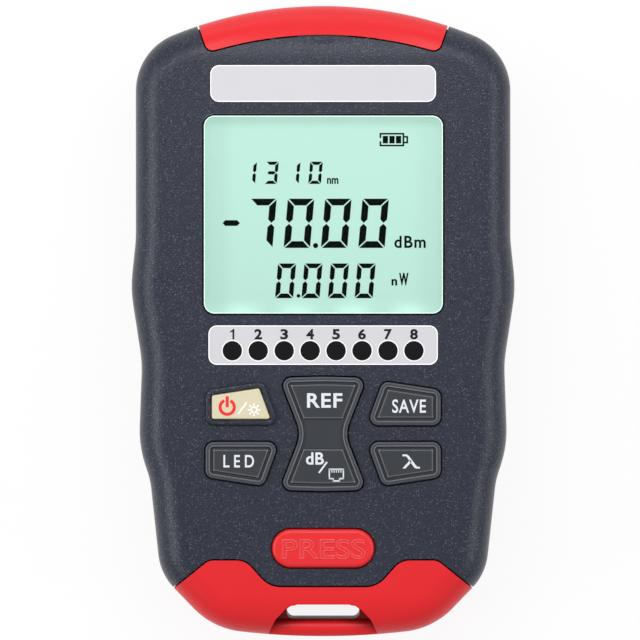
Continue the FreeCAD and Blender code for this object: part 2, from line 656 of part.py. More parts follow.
def rear_shell(hollow):
    """Rear half: cell bay, door opening, screw wells and hinge knuckles."""
    shell = hollow.common(slab(-1, PART_Z))
    groove = OUTER.cut(body(PART_GROOVE)).common(slab(PART_Z - PART_GROOVE, PART_Z))
    wall = BAY_WALL
    bay = box(-BAY_HALF - wall, BAY_HALF + wall, BAY_Y0 - wall, BAY_Y1 + wall, 0.2, BAY_TOP + BAY_ROOF)
    extras = [bay]
    for x, y in CASE_SCREWS:
        boss = rod(SCREW_BOSS_R, (x, y, 0.5), (0, 0, 1), PART_Z - 0.5)
        extras.append(boss.common(OUTER).cut(prism(grown(TAIL, GAP / 2), 0, DEPTH)))
    for s in (-1, 1):
        x0, x1 = sorted((s * (KNUCKLE_INNER + FIT), s * KNUCKLE_OUTER))
        barrel = rod(BARREL_R, (x0, HINGE_Y, HINGE_Z), (1, 0, 0), x1 - x0)
        web = box(x0, x1, END_PLATE_Y, HINGE_Y, WALL - 0.5, HINGE_Z + BARREL_R)
        extras += [barrel, web.common(OUTER)]
    shell = shell.cut(groove).multiFuse(extras)
    door_clear = box(-DOOR_HALF - FIT, DOOR_HALF + FIT, BAY_Y0 - FIT, DOOR_Y1 + FIT, -1,
                     DOOR_SET_BACK + DOOR_T + FIT)
    cuts = [box(-BAY_HALF, BAY_HALF, BAY_Y0, BAY_Y1, 0.9, BAY_TOP), door_clear]
    cuts.append(rod(HINGE_PIN_R, (-FAR, HINGE_Y, HINGE_Z), (1, 0, 0), 2 * FAR))
    for x, y in CASE_SCREWS:
        cuts.append(rod(SCREW_HEAD_R + FIT, (x, y, -1), (0, 0, 1), SCREW_WELL + 1))
        cuts.append(rod(SCREW_R, (x, y, 0), (0, 0, 1), PART_Z + 1))
    cuts.append(latch_notch())
    return shell.cut(Part.makeCompound(cuts))


def latch_notch():
    """Finger notch in the back beside the door's latch."""
    scoop = rod(9.0, (-5.5, BAY_Y0 - 1.6, -7.2), (1, 0, 0), 11.0)
    return scoop.common(box(-FAR, FAR, BAY_Y0 - 9, BAY_Y0, -1, WALL - 0.4))


# ---- display ---------------------------------------------------------------------------
def display_window():
    """Clear lens with a flange that seats behind the front wall."""
    wire = rectangle(WINDOW_W, WINDOW_H, (0, WINDOW_Y), WINDOW_R)
    boss = prism(wire, LENS_BACK, DEPTH - LENS_SET_BACK)
    flange = prism(rectangle(WINDOW_W + 2 * LENS_FLANGE, WINDOW_H + 2 * LENS_FLANGE, (0, WINDOW_Y),
                             WINDOW_R), LENS_BACK, INNER_FRONT)
    return fuse([boss, flange])


def centred(width, height, z0, z1):
    """Block centred behind the window."""
    return box(-width / 2, width / 2, WINDOW_Y - height / 2, WINDOW_Y + height / 2, z0, z1)


def lcd_glass():
    """Display cell: two glass sheets, the back one longer for its contacts."""
    w, h = WINDOW_W + 2 * LCD_MARGIN, WINDOW_H + 2 * LCD_MARGIN
    sheet = centred(w, h, LCD_FRONT - LCD_T / 2, LCD_FRONT)
    back = box(-w / 2, w / 2, WINDOW_Y - h / 2 - 0.8, WINDOW_Y + h / 2, LCD_BACK, LCD_FRONT - LCD_T / 2)
    return fuse([sheet, back])


def backlight_panel():
    """Light guide behind the display cell."""
    w, h = WINDOW_W + 2 * LCD_MARGIN, WINDOW_H + 2 * LCD_MARGIN
    return centred(w, h, LCD_BACK - BACKLIGHT_T, LCD_BACK)


def display_frame():
    """Frame that stands on the board and carries backlight, cell and lens."""
    w, h = WINDOW_W + 2 * LCD_MARGIN + 2 * FIT, WINDOW_H + 2 * LCD_MARGIN + 2 * FIT + 1.6
    ledge_top = LCD_BACK - BACKLIGHT_T
    ring = centred(w + 2 * FRAME_WALL, h + 2 * FRAME_WALL, BOARD_FRONT, LENS_BACK)
    ring = ring.cut(centred(w, h, ledge_top, LENS_BACK + 1))
    return ring.cut(centred(w - 2 * FRAME_LEDGE, h - 2 * FRAME_LEDGE, BOARD_FRONT - 1, LENS_BACK))


# ---- plates and lamps ------------------------------------------------------------------
def name_plate():
    """Bare metal plate let into the front face."""
    return prism(rectangle(NAME_W, NAME_H, (0, NAME_Y), NAME_R), DEPTH - PLATE_T, DEPTH)


def indicator_plate():
    """Metal plate with a row of lamp holes."""
    plate = prism(rectangle(STRIP_W, STRIP_H, (0, STRIP_Y), STRIP_R), DEPTH - PLATE_T, DEPTH)
    holes = [rod(LAMP_R + 0.05, (x, LAMP_Y, DEPTH - 2), (0, 0, 1), 4) for x in LAMP_XS]
    return plate.cut(Part.makeCompound(holes))


def indicator_light_guide():
    """Smoked bar with a round light pipe for each lamp."""
    bar = box(LAMP_XS[0] - LAMP_R - 1, LAMP_XS[-1] + LAMP_R + 1, LAMP_Y - LAMP_R - 0.6,
              LAMP_Y + LAMP_R + 0.6, INNER_FRONT - REST - 1.2, INNER_FRONT - REST)
    foot = BOARD_FRONT + LAMP_DIE_T + GAP
    parts = [bar]
    for x in LAMP_XS:
        parts.append(rod(LAMP_R, (x, LAMP_Y, INNER_FRONT - 1), (0, 0, 1), WALL + 1))
        parts.append(rod(LAMP_PIPE_R, (x, LAMP_Y, foot), (0, 0, 1), INNER_FRONT - foot))
    return fuse(parts)


def indicator_led(x):
    """Square diode on the board under one light pipe."""
    half = LAMP_DIE / 2
    return box(x - half, x + half, LAMP_Y - half, LAMP_Y + half, BOARD_FRONT, BOARD_FRONT + LAMP_DIE_T)


# ---- keys ------------------------------------------------------------------------------
def soft_top(solid, z, radius):
    """The solid with its upper edges rounded."""
    return solid.makeFillet(radius, edges_at(solid, z))


def pad_cut(wire, top, kept):
    """What is taken off a key's top inside its rim: the groove, and a thin layer over the pad."""
    field = prism(grown(wire, -KEY_RIM), top - KEY_GROOVE_DEPTH, top + 1)
    pad = prism(grown(wire, -KEY_RIM - KEY_GROOVE), top - 2, top - KEY_PAD_DROP).cut(kept)
    pad = soft_top(pad, top - KEY_PAD_DROP, KEY_PAD_BEVEL)
    return field.cut(pad)


def key(wire, top, grooved):
    """Key cap with a flange that stops it behind the front wall."""
    cap = soft_top(prism(wire, KEY_FOOT, top), top, KEY_EDGE_R)
    flange = prism(grown(wire, GAP + KEY_FLANGE), KEY_FOOT, KEY_FLANGE_TOP)
    whole = fuse([cap, flange])
    if grooved:
        whole = whole.cut(pad_cut(wire, top, box(FAR, FAR + 1, 0, 1, 0, 1)))
    return whole


def rocker_key():
    """Hourglass rocker: raised rim, a pad at each end, trunnions at its waist."""
    top = DEPTH + KEY_PROUD
    cap = soft_top(prism(ROCKER, ROCKER_FOOT, top), top, KEY_EDGE_R)
    middle = box(-FAR, FAR, ROCKER_Y - ROCKER_PAD_GAP, ROCKER_Y + ROCKER_PAD_GAP, 0, DEPTH + 5)
    cap = cap.cut(pad_cut(ROCKER, top, middle))
    reach = ROCKER_WAIST + GAP + FIT + TRUNNION_LENGTH
    pin = rod(TRUNNION_R, (-reach, ROCKER_Y, pivot_z()), (1, 0, 0), 2 * reach)
    return fuse([cap, pin])


def plan_centre(wire):
    """Middle of a plan wire's bounding box."""
    box_ = wire.BoundBox
    return (box_.XMin + box_.XMax) / 2, (box_.YMin + box_.YMax) / 2


def keypad_mat():
    """Rubber mat with a collapsible pedestal under every key."""
    low = LOWER_KEY_Y - KEY_HEIGHT - 0.5
    mat = box(-MAT_HALF, MAT_HALF, low, UPPER_KEY_Y + 1.2, BOARD_FRONT, BOARD_FRONT + MAT_T)
    spots = [plan_centre(w) + (KEY_FOOT,) for w in (POWER, SAVE, LAMP_KEY, WAVELENGTH)]
    spots += [(0, ROCKER_Y + s * ROCKER_LENGTH / 3, ROCKER_FOOT) for s in (-1, 1)]
    base = BOARD_FRONT + MAT_T
    cones = [Part.makeCone(PEDESTAL_R0, PEDESTAL_R1, foot - base, Vector(x, y, base))
             for x, y, foot in spots]
    half = TONGUE_W / 2 + DOCK_FIT + DOCK_WALL + FIT
    dock = box(-half, half, SEAM_Y - 4, DOCK_END + FIT, BOARD_FRONT - 1, DOCK_ROOF + FIT)
    return fuse([mat] + cones).cut(dock)


# ---- release button --------------------------------------------------------------------
def press_button():
    """Stadium button with a flange and a catch that reaches into the tail's tongue."""
    top = DEPTH + BUTTON_PROUD
    foot = INNER_FRONT - REST - BUTTON_FLANGE_T
    cap = soft_top(prism(BUTTON, foot, top), top, 0.8)
    flange = prism(grown(BUTTON, GAP + BUTTON_FLANGE), foot, INNER_FRONT - REST)
    flange = flange.cut(prism(grown(TAIL, GAP / 2 + WALL + FIT), 0, DEPTH))
    catch_foot = TONGUE_TOP - CATCH_REACH
    catch = box(-CATCH_W / 2, CATCH_W / 2, BUTTON_Y, BUTTON_Y + CATCH_T, catch_foot, foot + 0.5)
    return fuse([cap, flange, catch])


def press_spring(side):
    """Return spring between the dock's roof and the button's flange."""
    foot = INNER_FRONT - REST - BUTTON_FLANGE_T
    return spring(SPRING_R, SPRING_WIRE, SPRING_TURNS, (side * BUTTON_SPRING_X, BUTTON_Y, DOCK_ROOF),
                  foot - DOCK_ROOF)


# ---- tail ------------------------------------------------------------------------------
def lanyard_cuts():
    """Through slot, and the scoops that set the strap bar back at front and back."""
    slot = prism(rectangle(SLOT_W, SLOT_H, (0, SLOT_Y), SLOT_H / 2 - 0.01), -1, DEPTH + 1)
    half = SLOT_W / 2
    top = SLOT_Y + SLOT_H / 2
    points = [(half - 2.0, top + 0.2, 0.8), (half + 0.2, top - 0.7, 1.0), (half + 2.2, top - 2.8, 2.0),
              (half + 3.8, Y_END - 0.2, 1.0), (half + 4.5, Y_END - 6, 1.0)]
    scoop = round_polygon(points + [(-x, y, r) for x, y, r in reversed(points)])
    bar_r = (SLOT_FROM_END - SLOT_H / 2) / 2
    cuts = [slot]
    for z, out in ((DEPTH - STRAP_DEPTH - bar_r, DEPTH + 1), (STRAP_DEPTH + bar_r, -1)):
        bar = rod(bar_r, (-FAR, Y_END + bar_r, z), (1, 0, 0), 2 * FAR)
        cuts.append(prism(scoop, min(z, out), max(z, out)).cut(bar))
    return Part.makeCompound(cuts)


def tail_body():
    """The tail with its tongue, hollow, before it is split at the parting plane."""
    walled = OUTER.common(prism(grown(TAIL, -GAP / 2), -1, DEPTH + 1))
    cavity = INNER.common(prism(grown(TAIL, -GAP / 2 - WALL), -1, DEPTH + 1))
    core = box(-SLOT_W / 2 - 4.6, SLOT_W / 2 + 4.6, Y_END - 1, SLOT_Y + SLOT_H / 2 + 1.4, -1, DEPTH + 1)
    cavity = cavity.cut(core)
    half = TONGUE_W / 2
    tongue = box(-half, half, SEAM_Y - 2, TONGUE_END, TONGUE_Z, TONGUE_TOP)
    hollow = box(-half + TONGUE_WALL, half - TONGUE_WALL, SEAM_Y - 3.2, TONGUE_END + 1,
                 TONGUE_Z + TONGUE_WALL, TONGUE_TOP - TONGUE_WALL)
    solid = walled.cut(cavity).fuse(tongue).cut(hollow)
    catch = box(-CATCH_W / 2 - 0.4, CATCH_W / 2 + 0.4, BUTTON_Y - 0.6, TONGUE_END + 1,
                TONGUE_TOP - TONGUE_WALL - 1, TONGUE_TOP + 1)
    return solid.cut(Part.makeCompound([catch])).cut(lanyard_cuts())


def tail_half(solid, front):
    """One shell of the tail, with its screw bosses."""
    z0, z1 = (PART_Z, INNER_FRONT + 0.5) if front else (WALL - 0.5, PART_Z)
    half = solid.common(slab(PART_Z, DEPTH + 1) if front else slab(-1, PART_Z))
    bosses = [rod(3.0, (x, y, z0), (0, 0, 1), z1 - z0) for x, y in TAIL_SCREWS]
    half = half.multiFuse([b.common(OUTER) for b in bosses])
    cuts = []
    for x, y in TAIL_SCREWS:
        cuts.append(rod(SCREW_R, (x, y, -1), (0, 0, 1), PART_Z + 8))
        if not front:
            cuts.append(rod(SCREW_HEAD_R + FIT, (x, y, -1), (0, 0, 1), SCREW_WELL + 1))
    if not front:
        cuts.append(OUTER.cut(body(PART_GROOVE)).common(slab(PART_Z - PART_GROOVE, PART_Z)))
    return half.cut(Part.makeCompound(cuts))


# ---- network jacks ---------------------------------------------------------------------
def jack(x, y_front, z0):
    """Network jack that opens towards +Y: stepped mouth, latch key, hollow with a back wall."""
    case = box(x - JACK_W / 2, x + JACK_W / 2, y_front - JACK_D, y_front, z0, z0 + JACK_H)
    mid = z0 + JACK_H / 2 + 0.6
    low = mid - JACK_MOUTH_H / 2
    cuts = [box(x - JACK_MOUTH_W / 2, x + JACK_MOUTH_W / 2, y_front - JACK_DEPTH, y_front + 1,
                low, low + JACK_MOUTH_H),
            box(x - JACK_KEY_W / 2, x + JACK_KEY_W / 2, y_front - JACK_DEPTH + 3, y_front + 1,
                low - JACK_KEY_H, low + 0.1),
            box(x - JACK_LATCH_W / 2, x + JACK_LATCH_W / 2, y_front - JACK_DEPTH + 5, y_front + 1,
                low - JACK_KEY_H - JACK_LATCH_H, low - JACK_KEY_H + 0.1)]
    return case.cut(Part.makeCompound(cuts))


def jack_contacts(x, y_front, z0):
    """Eight slanting spring contacts on a carrier inside the jack."""
    top = z0 + JACK_H / 2 + 0.6 + JACK_MOUTH_H / 2
    back = y_front - JACK_DEPTH
    parts = [box(x - JACK_MOUTH_W / 2, x + JACK_MOUTH_W / 2, back, back + 1.2, top - 1.2, top)]
    for i in range(CONTACT_COUNT):
        cx = x + (i - (CONTACT_COUNT - 1) / 2) * CONTACT_PITCH
        finger = Part.Face(Part.makePolygon([
            Vector(cx - CONTACT_W / 2, back + 1.0, top - 3.4), Vector(cx - CONTACT_W / 2, back + 1.0, top - 3.0),
            Vector(cx - CONTACT_W / 2, y_front - 2.5, top - 0.2), Vector(cx - CONTACT_W / 2, y_front - 2.0, top - 0.5),
            Vector(cx - CONTACT_W / 2, back + 1.0, top - 3.4)])).extrude(Vector(CONTACT_W, 0, 0))
        stem = box(cx - CONTACT_W / 2, cx + CONTACT_W / 2, back + 0.8, back + 1.2, top - 3.4, top - 0.8)
        parts += [finger, stem]
    return fuse(parts)


# ---- port end --------------------------------------------------------------------------
def end_plate():
    """Plate that closes the port end and lets the jack, torch and fibre port through."""
    zone = box(-END_PLATE_HALF, END_PLATE_HALF, END_PLATE_BACK, END_PLATE_Y, -1, DEPTH + 1)
    plate = INNER.common(zone)
    jack_z = BOARD_BACK - JACK_H
    cuts = [box(JACK_X - JACK_W / 2 - FIT, JACK_X + JACK_W / 2 + FIT, 0, Y_TOP, jack_z - FIT,
                BOARD_BACK + FIT),
            rod(TORCH_R + RUNNING, (TORCH_X, 0, PORT_Z), (0, 1, 0), Y_TOP),
            rod(PORT_THREAD_R + RUNNING, (PORT_X, 0, PORT_Z), (0, 1, 0), Y_TOP)]
    return plate.cut(Part.makeCompound(cuts))


def fibre_port_sleeve():
    """Threaded fibre port: keyed outer ring, inner ferrule tube, flange behind the plate."""
    tip = END_PLATE_Y + PORT_REACH
    axis = (0, 1, 0)
    barrel = rod(PORT_THREAD_R, (PORT_X, END_PLATE_BACK - 3, PORT_Z), axis, tip - END_PLATE_BACK + 3)
    flange = rod(PORT_FLANGE_R, (PORT_X, END_PLATE_BACK - 1.5, PORT_Z), axis, 1.5)
    hollow = rod(PORT_THREAD_R - PORT_RING_WALL, (PORT_X, tip - 4.2, PORT_Z), axis, 5)
    core = rod(PORT_CORE_R, (PORT_X, tip - 4.2, PORT_Z), axis, 3.6)
    slot = box(PORT_X - PORT_KEY_W / 2, PORT_X + PORT_KEY_W / 2, tip - 3.0, tip + 1, PORT_Z,
               PORT_Z + PORT_THREAD_R + 1)
    slot = slot.cut(rod(PORT_CORE_R, (PORT_X, 0, PORT_Z), axis, FAR))
    bore = rod(PORT_BORE_R, (PORT_X, 0, PORT_Z), axis, FAR)
    return fuse([barrel, flange]).cut(hollow).fuse(core).cut(slot).cut(bore)


def fibre_port_nut():
    """Hexagon nut that clamps the port to the end plate."""
    across = PORT_NUT_ACROSS / 2 / math.cos(math.radians(30))
    points = [Vector(PORT_X + across * math.cos(math.radians(60 * i)), END_PLATE_Y,
                     PORT_Z + across * math.sin(math.radians(60 * i))) for i in range(7)]
    nut = Part.Face(Part.makePolygon(points)).extrude(Vector(0, PORT_NUT_T, 0))
    return nut.cut(rod(PORT_THREAD_R + RUNNING, (PORT_X, 0, PORT_Z), (0, 1, 0), FAR))


def detector():
    """Photodiode can behind the fibre port, with its leads."""
    y1 = END_PLATE_BACK - 3
    can = rod(DETECTOR_R, (PORT_X, y1 - DETECTOR_T, PORT_Z), (0, 1, 0), DETECTOR_T)
    rim_ = rod(DETECTOR_R + 0.7, (PORT_X, y1 - DETECTOR_T, PORT_Z), (0, 1, 0), 0.8)
    leads = []
    for s in (-1, 1):
        lead = rod(0.25, (PORT_X + 1.3 * s, y1 - DETECTOR_T - 3, PORT_Z), (0, 1, 0), 3.2)
        rise = rod(0.25, (PORT_X + 1.3 * s, y1 - DETECTOR_T - 3, PORT_Z), (0, 0, 1), BOARD_BACK - PORT_Z)
        leads += [lead, rise]
    return fuse([can, rim_] + leads)


def torch_led():
    """Torch diode: domed lens, rim, and leads to the board."""
    back = END_PLATE_BACK - 2.0
    lens = rod(TORCH_R, (TORCH_X, back, PORT_Z), (0, 1, 0), END_PLATE_Y + 1.6 - back)
    dome = Part.makeSphere(TORCH_R, Vector(TORCH_X, END_PLATE_Y + 1.6, PORT_Z))
    rim_ = rod(TORCH_R + 0.5, (TORCH_X, back, PORT_Z), (0, 1, 0), 1.0)
    leads = []
    for s in (-1, 1):
        lead = rod(0.25, (TORCH_X + 1.27 * s, back - 3, PORT_Z), (0, 1, 0), 3.2)
        rise = rod(0.25, (TORCH_X + 1.27 * s, back - 3, PORT_Z), (0, 0, 1), BOARD_BACK - PORT_Z)
        leads += [lead, rise]
    return fuse([lens, dome, rim_] + leads)


def torch_bezel():
    """Bright ring round the torch lens."""
    ring = rod(TORCH_BEZEL_R, (TORCH_X, END_PLATE_Y, PORT_Z), (0, 1, 0), 1.0)
    return ring.cut(rod(TORCH_R + RUNNING, (TORCH_X, 0, PORT_Z), (0, 1, 0), FAR))


def dust_cover():
    """Box lid over the port end: skin, side flanges and one hinge knuckle."""
    plan = prism(COVER, COVER_FOOT, DEPTH + 1)
    skin = OUTER.common(plan)
    hollow = COVER_INNER.common(prism(cover_throat(-COVER_T), -1, DEPTH + 1))
    cover = skin.cut(hollow)
    barrel = rod(BARREL_R, (-KNUCKLE_INNER, HINGE_Y, HINGE_Z), (1, 0, 0), 2 * KNUCKLE_INNER)
    web = box(-KNUCKLE_INNER, KNUCKLE_INNER, HINGE_Y - 0.4, Y_TOP, HINGE_Z, COVER_FOOT + 2.5)
    web = web.common(OUTER)
    cover = cover.multiFuse([barrel, web])
    return cover.cut(rod(HINGE_PIN_R + RUNNING, (-FAR, HINGE_Y, HINGE_Z), (1, 0, 0), 2 * FAR))


def dust_cover_pin():
    """Steel hinge pin, pressed into the rear shell's knuckles."""
    return rod(HINGE_PIN_R, (-KNUCKLE_OUTER, HINGE_Y, HINGE_Z), (1, 0, 0), 2 * KNUCKLE_OUTER)


# ---- board -----------------------------------------------------------------------------
def main_board():
    """Main circuit board, held to the front shell's posts."""
    low = DOCK_END + FIT
    board = box(-BOARD_HALF, BOARD_HALF, low, Y_TOP - BOARD_TOP_FROM_END, BOARD_BACK, BOARD_FRONT)
    holes = [rod(BOARD_SCREW_R, (x, y, 0), (0, 0, 1), DEPTH) for x, y in POSTS]
    return board.cut(Part.makeCompound(holes))


def board_chips():
    """Packages on the board's back: processor, amplifier, converter, coil and crystal."""
    y = BAY_Y1 + BAY_WALL
    z = BOARD_BACK
    low = BOARD_BACK - 1.4
    parts = [box(-8, 4, y - 36, y - 24, low, z), box(-19, -12, y - 30, y - 25, low, z),
             box(10, 17, y - 18, y - 12, low, z), box(-19, -15, y - 16, y - 12, low - 0.8, z),
             rod(2.6, (14, y - 30, z - 3.0), (0, 0, 1), 3.0),
             box(-4, 3, y - 8, y - 4, low, z), box(10, 14, y - 6, y - 3, low, z)]
    return Part.makeCompound(parts)


def buzzer():
    """Round sounder on the board's back."""
    can = rod(4.5, (17.5, -24.5, BOARD_BACK - 4.0), (0, 0, 1), 4.0)
    return can.cut(rod(0.8, (17.5, -24.5, BOARD_BACK - 5), (0, 0, 1), 2.0))


def screws(places, z_seat, radius, head_r, head_t, length):
    """Pan-head screws driven upward from a seat height."""
    made = []
    for x, y in places:
        shank = rod(radius, (x, y, z_seat), (0, 0, 1), length)
        head = rod(head_r, (x, y, z_seat - head_t), (0, 0, 1), head_t)
        cross = [box(x - head_r * 0.6, x + head_r * 0.6, y - 0.25, y + 0.25, z_seat - head_t - 1,
                     z_seat - head_t * 0.45),
                 box(x - 0.25, x + 0.25, y - head_r * 0.6, y + head_r * 0.6, z_seat - head_t - 1,
                     z_seat - head_t * 0.45)]
        made.append(fuse([shank, head]).cut(Part.makeCompound(cross)))
    return Part.makeCompound(made)


# ---- battery bay -----------------------------------------------------------------------
def cell_x(i):
    """Axis of one cell."""
    return (i - (CELL_COUNT - 1) / 2) * CELL_PITCH


def battery_cell(i):
    """AAA cell; neighbours face opposite ways."""
    way = 1 if i % 2 == 0 else -1
    mid = (BAY_Y0 + BAY_Y1) / 2
    can_length = CELL_LENGTH - CELL_BUTTON_H
    start = mid - way * CELL_LENGTH / 2
    can = rod(CELL_R - 0.1, (cell_x(i), start, CELL_Z), (0, way, 0), can_length)
    button = rod(CELL_BUTTON_R, (cell_x(i), start, CELL_Z), (0, way, 0), CELL_LENGTH)
    return fuse([can, button])


def battery_contacts():
    """Spring-steel plates on both end walls of the bay."""
    plates = []
    for i in range(CELL_COUNT):
        x = cell_x(i)
        for y in (BAY_Y0, BAY_Y1 - CONTACT_T):
            plates.append(box(x - 4, x + 4, y, y + CONTACT_T, CELL_Z - 4, CELL_Z + 4))
    return Part.makeCompound(plates)


def battery_springs():
    """Coil contacts at each cell's flat end, and raised studs at the other."""
    parts = []
    for i in range(CELL_COUNT):
        way = 1 if i % 2 == 0 else -1
        wall = BAY_Y0 + CONTACT_T if way > 0 else BAY_Y1 - CONTACT_T
        far = BAY_Y1 - CONTACT_T if way > 0 else BAY_Y0 + CONTACT_T
        coil = spring(2.4, 0.5, 2.5, (0, 0, 0), CELL_END_ROOM - CONTACT_T)
        coil.rotate(Vector(0, 0, 0), Vector(1, 0, 0), -90 * way)
        coil.translate(Vector(cell_x(i), wall, CELL_Z))
        stud = Part.makeCone(2.2, 1.2, CELL_END_ROOM - CONTACT_T, Vector(cell_x(i), far, CELL_Z),
                             Vector(0, -way, 0))
        parts += [coil, stud]
    return Part.makeCompound(parts)


def battery_door():
    """Door with hooked tabs at its hinge edge, grip ribs and an arrow-free finger latch."""
    z0, z1 = DOOR_SET_BACK, DOOR_SET_BACK + DOOR_T
    y0, y1 = BAY_Y0, DOOR_Y1
    plate = prism(rectangle(2 * DOOR_HALF, y1 - y0, (0, (y0 + y1) / 2), 0.8), z0, z1)
    parts = [plate]
    for s in (-1, 1):
        x = s * DOOR_HALF * 0.6
        parts.append(box(x - DOOR_TAB_W / 2, x + DOOR_TAB_W / 2, y1 - 0.5, y1 + DOOR_TAB_REACH - 0.2,
                         z1 - DOOR_TAB_T, z1))
    door = fuse(parts)
    cuts = []
    for i in range(DOOR_RIB_COUNT):
        y = y0 + 4.0 + i * DOOR_RIB_PITCH
        cuts.append(box(-7, 7, y, y + DOOR_RIB_PITCH / 2, z0 - 1, z0 + 0.45))
    for s in (-1, 1):
        cuts.append(box(s * 5.6 - 0.35, s * 5.6 + 0.35, y0 - 1, y0 + 3.2, z0 - 1, z1 + 1))
    return door.cut(Part.makeCompound(cuts))


# ---- build -----------------------------------------------------------------------------
def build():
    """Every piece by its node name."""
    hollow = housing()
    tail = tail_body()
    jack_z = BOARD_BACK - JACK_H
    jack_y = END_PLATE_Y + 0.4
    tail_jack_z = TONGUE_Z + TONGUE_WALL + 0.4
    tail_jack_y = TONGUE_END
    key_top = DEPTH + KEY_PROUD
    seat = SCREW_WELL
    parts = {
        "front_shell": front_shell(hollow),
        "rear_shell": rear_shell(hollow),
        "display_window": display_window(),
        "lcd_glass": lcd_glass(),
        "backlight_panel": backlight_panel(),
        "display_frame": display_frame(),
        "name_plate": name_plate(),
        "indicator_plate": indicator_plate(),
        "indicator_light_guide": indicator_light_guide(),
        "power_key": key(POWER, DEPTH + POWER_FRAME_PROUD - 0.1, False),
        "save_key": key(SAVE, key_top, True),
        "lamp_key": key(LAMP_KEY, key_top, True),
        "wavelength_key": key(WAVELENGTH, key_top, True),
        "rocker_key": rocker_key(),
        "keypad_mat": keypad_mat(),
        "press_button": press_button(),
        "press_spring_left": press_spring(-1),
        "press_spring_right": press_spring(1),
        "main_board": main_board(),
        "board_chips": board_chips(),
        "buzzer": buzzer(),
        "board_screws": screws(POSTS, BOARD_BACK, BOARD_SCREW_R, BOARD_SCREW_HEAD_R,
                               BOARD_SCREW_HEAD_T, BOARD_SCREW_LENGTH),
        "case_screws": screws(CASE_SCREWS, seat, SCREW_R, SCREW_HEAD_R, SCREW_HEAD_T, SCREW_LENGTH),
        "end_plate": end_plate(),
        "network_jack": jack(JACK_X, jack_y, jack_z),
        "network_jack_contacts": jack_contacts(JACK_X, jack_y, jack_z),
        "fibre_port_sleeve": fibre_port_sleeve(),
        "fibre_port_nut": fibre_port_nut(),
        "detector": detector(),
        "torch_led": torch_led(),
        "torch_bezel": torch_bezel(),
        "dust_cover": dust_cover(),
        "dust_cover_pin": dust_cover_pin(),
        "battery_door": battery_door(),
        "battery_contacts": battery_contacts(),
        "battery_springs": battery_springs(),
        "tail_front_shell": tail_half(tail, True),
        "tail_rear_shell": tail_half(tail, False),
        "tail_jack": jack(0, tail_jack_y, tail_jack_z),
        "tail_jack_contacts": jack_contacts(0, tail_jack_y, tail_jack_z),
        "tail_board": box(-8.2, 8.2, SEAM_Y - 2.5, TONGUE_END - JACK_D, tail_jack_z, tail_jack_z + BOARD_T),
        "tail_screws": screws(TAIL_SCREWS, seat, SCREW_R, SCREW_HEAD_R, SCREW_HEAD_T, SCREW_LENGTH),
    }
    for i, x in enumerate(LAMP_XS):
        parts["indicator_led_%d" % (i + 1)] = indicator_led(x)
    for i in range(CELL_COUNT):
        parts["battery_cell_%d" % (i + 1)] = battery_cell(i)
    return parts


def main():
    """Write one STEP file for each piece."""
    os.makedirs("parts", exist_ok=True)
    for name, shape in build().items():
        print("%-24s solids %d faces %4d volume %9.1f valid %s" % (
            name, len(shape.Solids), len(shape.Faces), shape.Volume, shape.isValid()))
        shape.exportStep(os.path.join("parts", name + ".step"))


main()
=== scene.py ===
"""Looks of a handheld optical power meter, built round its packed construction.

The housing, keys and mechanism are the construction's own nodes and get their finishes here.
Added here are the display readout, the printed numerals and legends, the painted highlights
along the edges of the plates and the window, the raised word on the release button in painted
highlight and shadow red, and the stage. Lengths in the
classes are millimetres in the construction's frame, except where a class says metres: +X right,
+Y to the port end, +Z out of the display.
"""
from __future__ import annotations

import json
import logging
import math
from dataclasses import dataclass, field
from enum import Enum
from functools import cached_property
from typing import Iterable, Protocol, Sequence

import bpy
import numpy as np
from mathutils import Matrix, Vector

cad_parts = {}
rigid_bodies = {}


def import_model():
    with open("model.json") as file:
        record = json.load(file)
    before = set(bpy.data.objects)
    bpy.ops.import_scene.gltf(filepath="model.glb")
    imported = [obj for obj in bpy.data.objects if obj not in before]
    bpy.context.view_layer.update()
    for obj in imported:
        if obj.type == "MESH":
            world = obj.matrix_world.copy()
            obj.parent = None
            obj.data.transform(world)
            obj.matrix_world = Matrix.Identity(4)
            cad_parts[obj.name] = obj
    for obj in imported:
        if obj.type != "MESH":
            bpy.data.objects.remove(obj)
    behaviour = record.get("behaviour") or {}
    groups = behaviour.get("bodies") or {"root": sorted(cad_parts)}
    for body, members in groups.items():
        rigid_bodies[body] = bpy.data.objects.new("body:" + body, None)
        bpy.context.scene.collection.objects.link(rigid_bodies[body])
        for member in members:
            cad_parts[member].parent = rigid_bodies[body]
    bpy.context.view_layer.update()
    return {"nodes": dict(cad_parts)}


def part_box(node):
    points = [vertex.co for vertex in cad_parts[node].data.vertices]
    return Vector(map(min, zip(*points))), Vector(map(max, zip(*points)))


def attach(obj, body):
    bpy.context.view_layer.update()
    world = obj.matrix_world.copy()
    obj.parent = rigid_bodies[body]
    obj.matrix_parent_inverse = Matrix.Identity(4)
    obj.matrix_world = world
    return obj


LOG = logging.getLogger("power_meter")
MM = 0.001
Colour = tuple[float, float, float]
Point = tuple[float, float]
Socket = bpy.types.NodeSocket
Surface = tuple[np.ndarray, list[list[int]]]


def srgb(red: float, green: float, blue: float) -> Colour:
    """Linear colour of a display colour given in 0 to 255.

    Args:
        red: Red value.
        green: Green value.
        blue: Blue value.

    Returns:
        The three linear values.
    """
    def linear(value: float) -> float:
        """Standard display curve undone for one channel."""
        c = value / 255
        return c / 12.92 if c <= 0.04045 else ((c + 0.055) / 1.055) ** 2.4

    return linear(red), linear(green), linear(blue)


# ---- laying out nodes ------------------------------------------------------------------
class Step(Enum):
    """Curves of a step between two levels."""

    SMOOTH = "SMOOTHSTEP"
    SMOOTHER = "SMOOTHERSTEP"


class Sum(Enum):
    """Kinds of sum that a maths node does."""

    TIMES = "MULTIPLY"
    TIMES_PLUS = "MULTIPLY_ADD"
    COSINE = "COSINE"
    LARGER = "MAXIMUM"
    BELOW = "LESS_THAN"


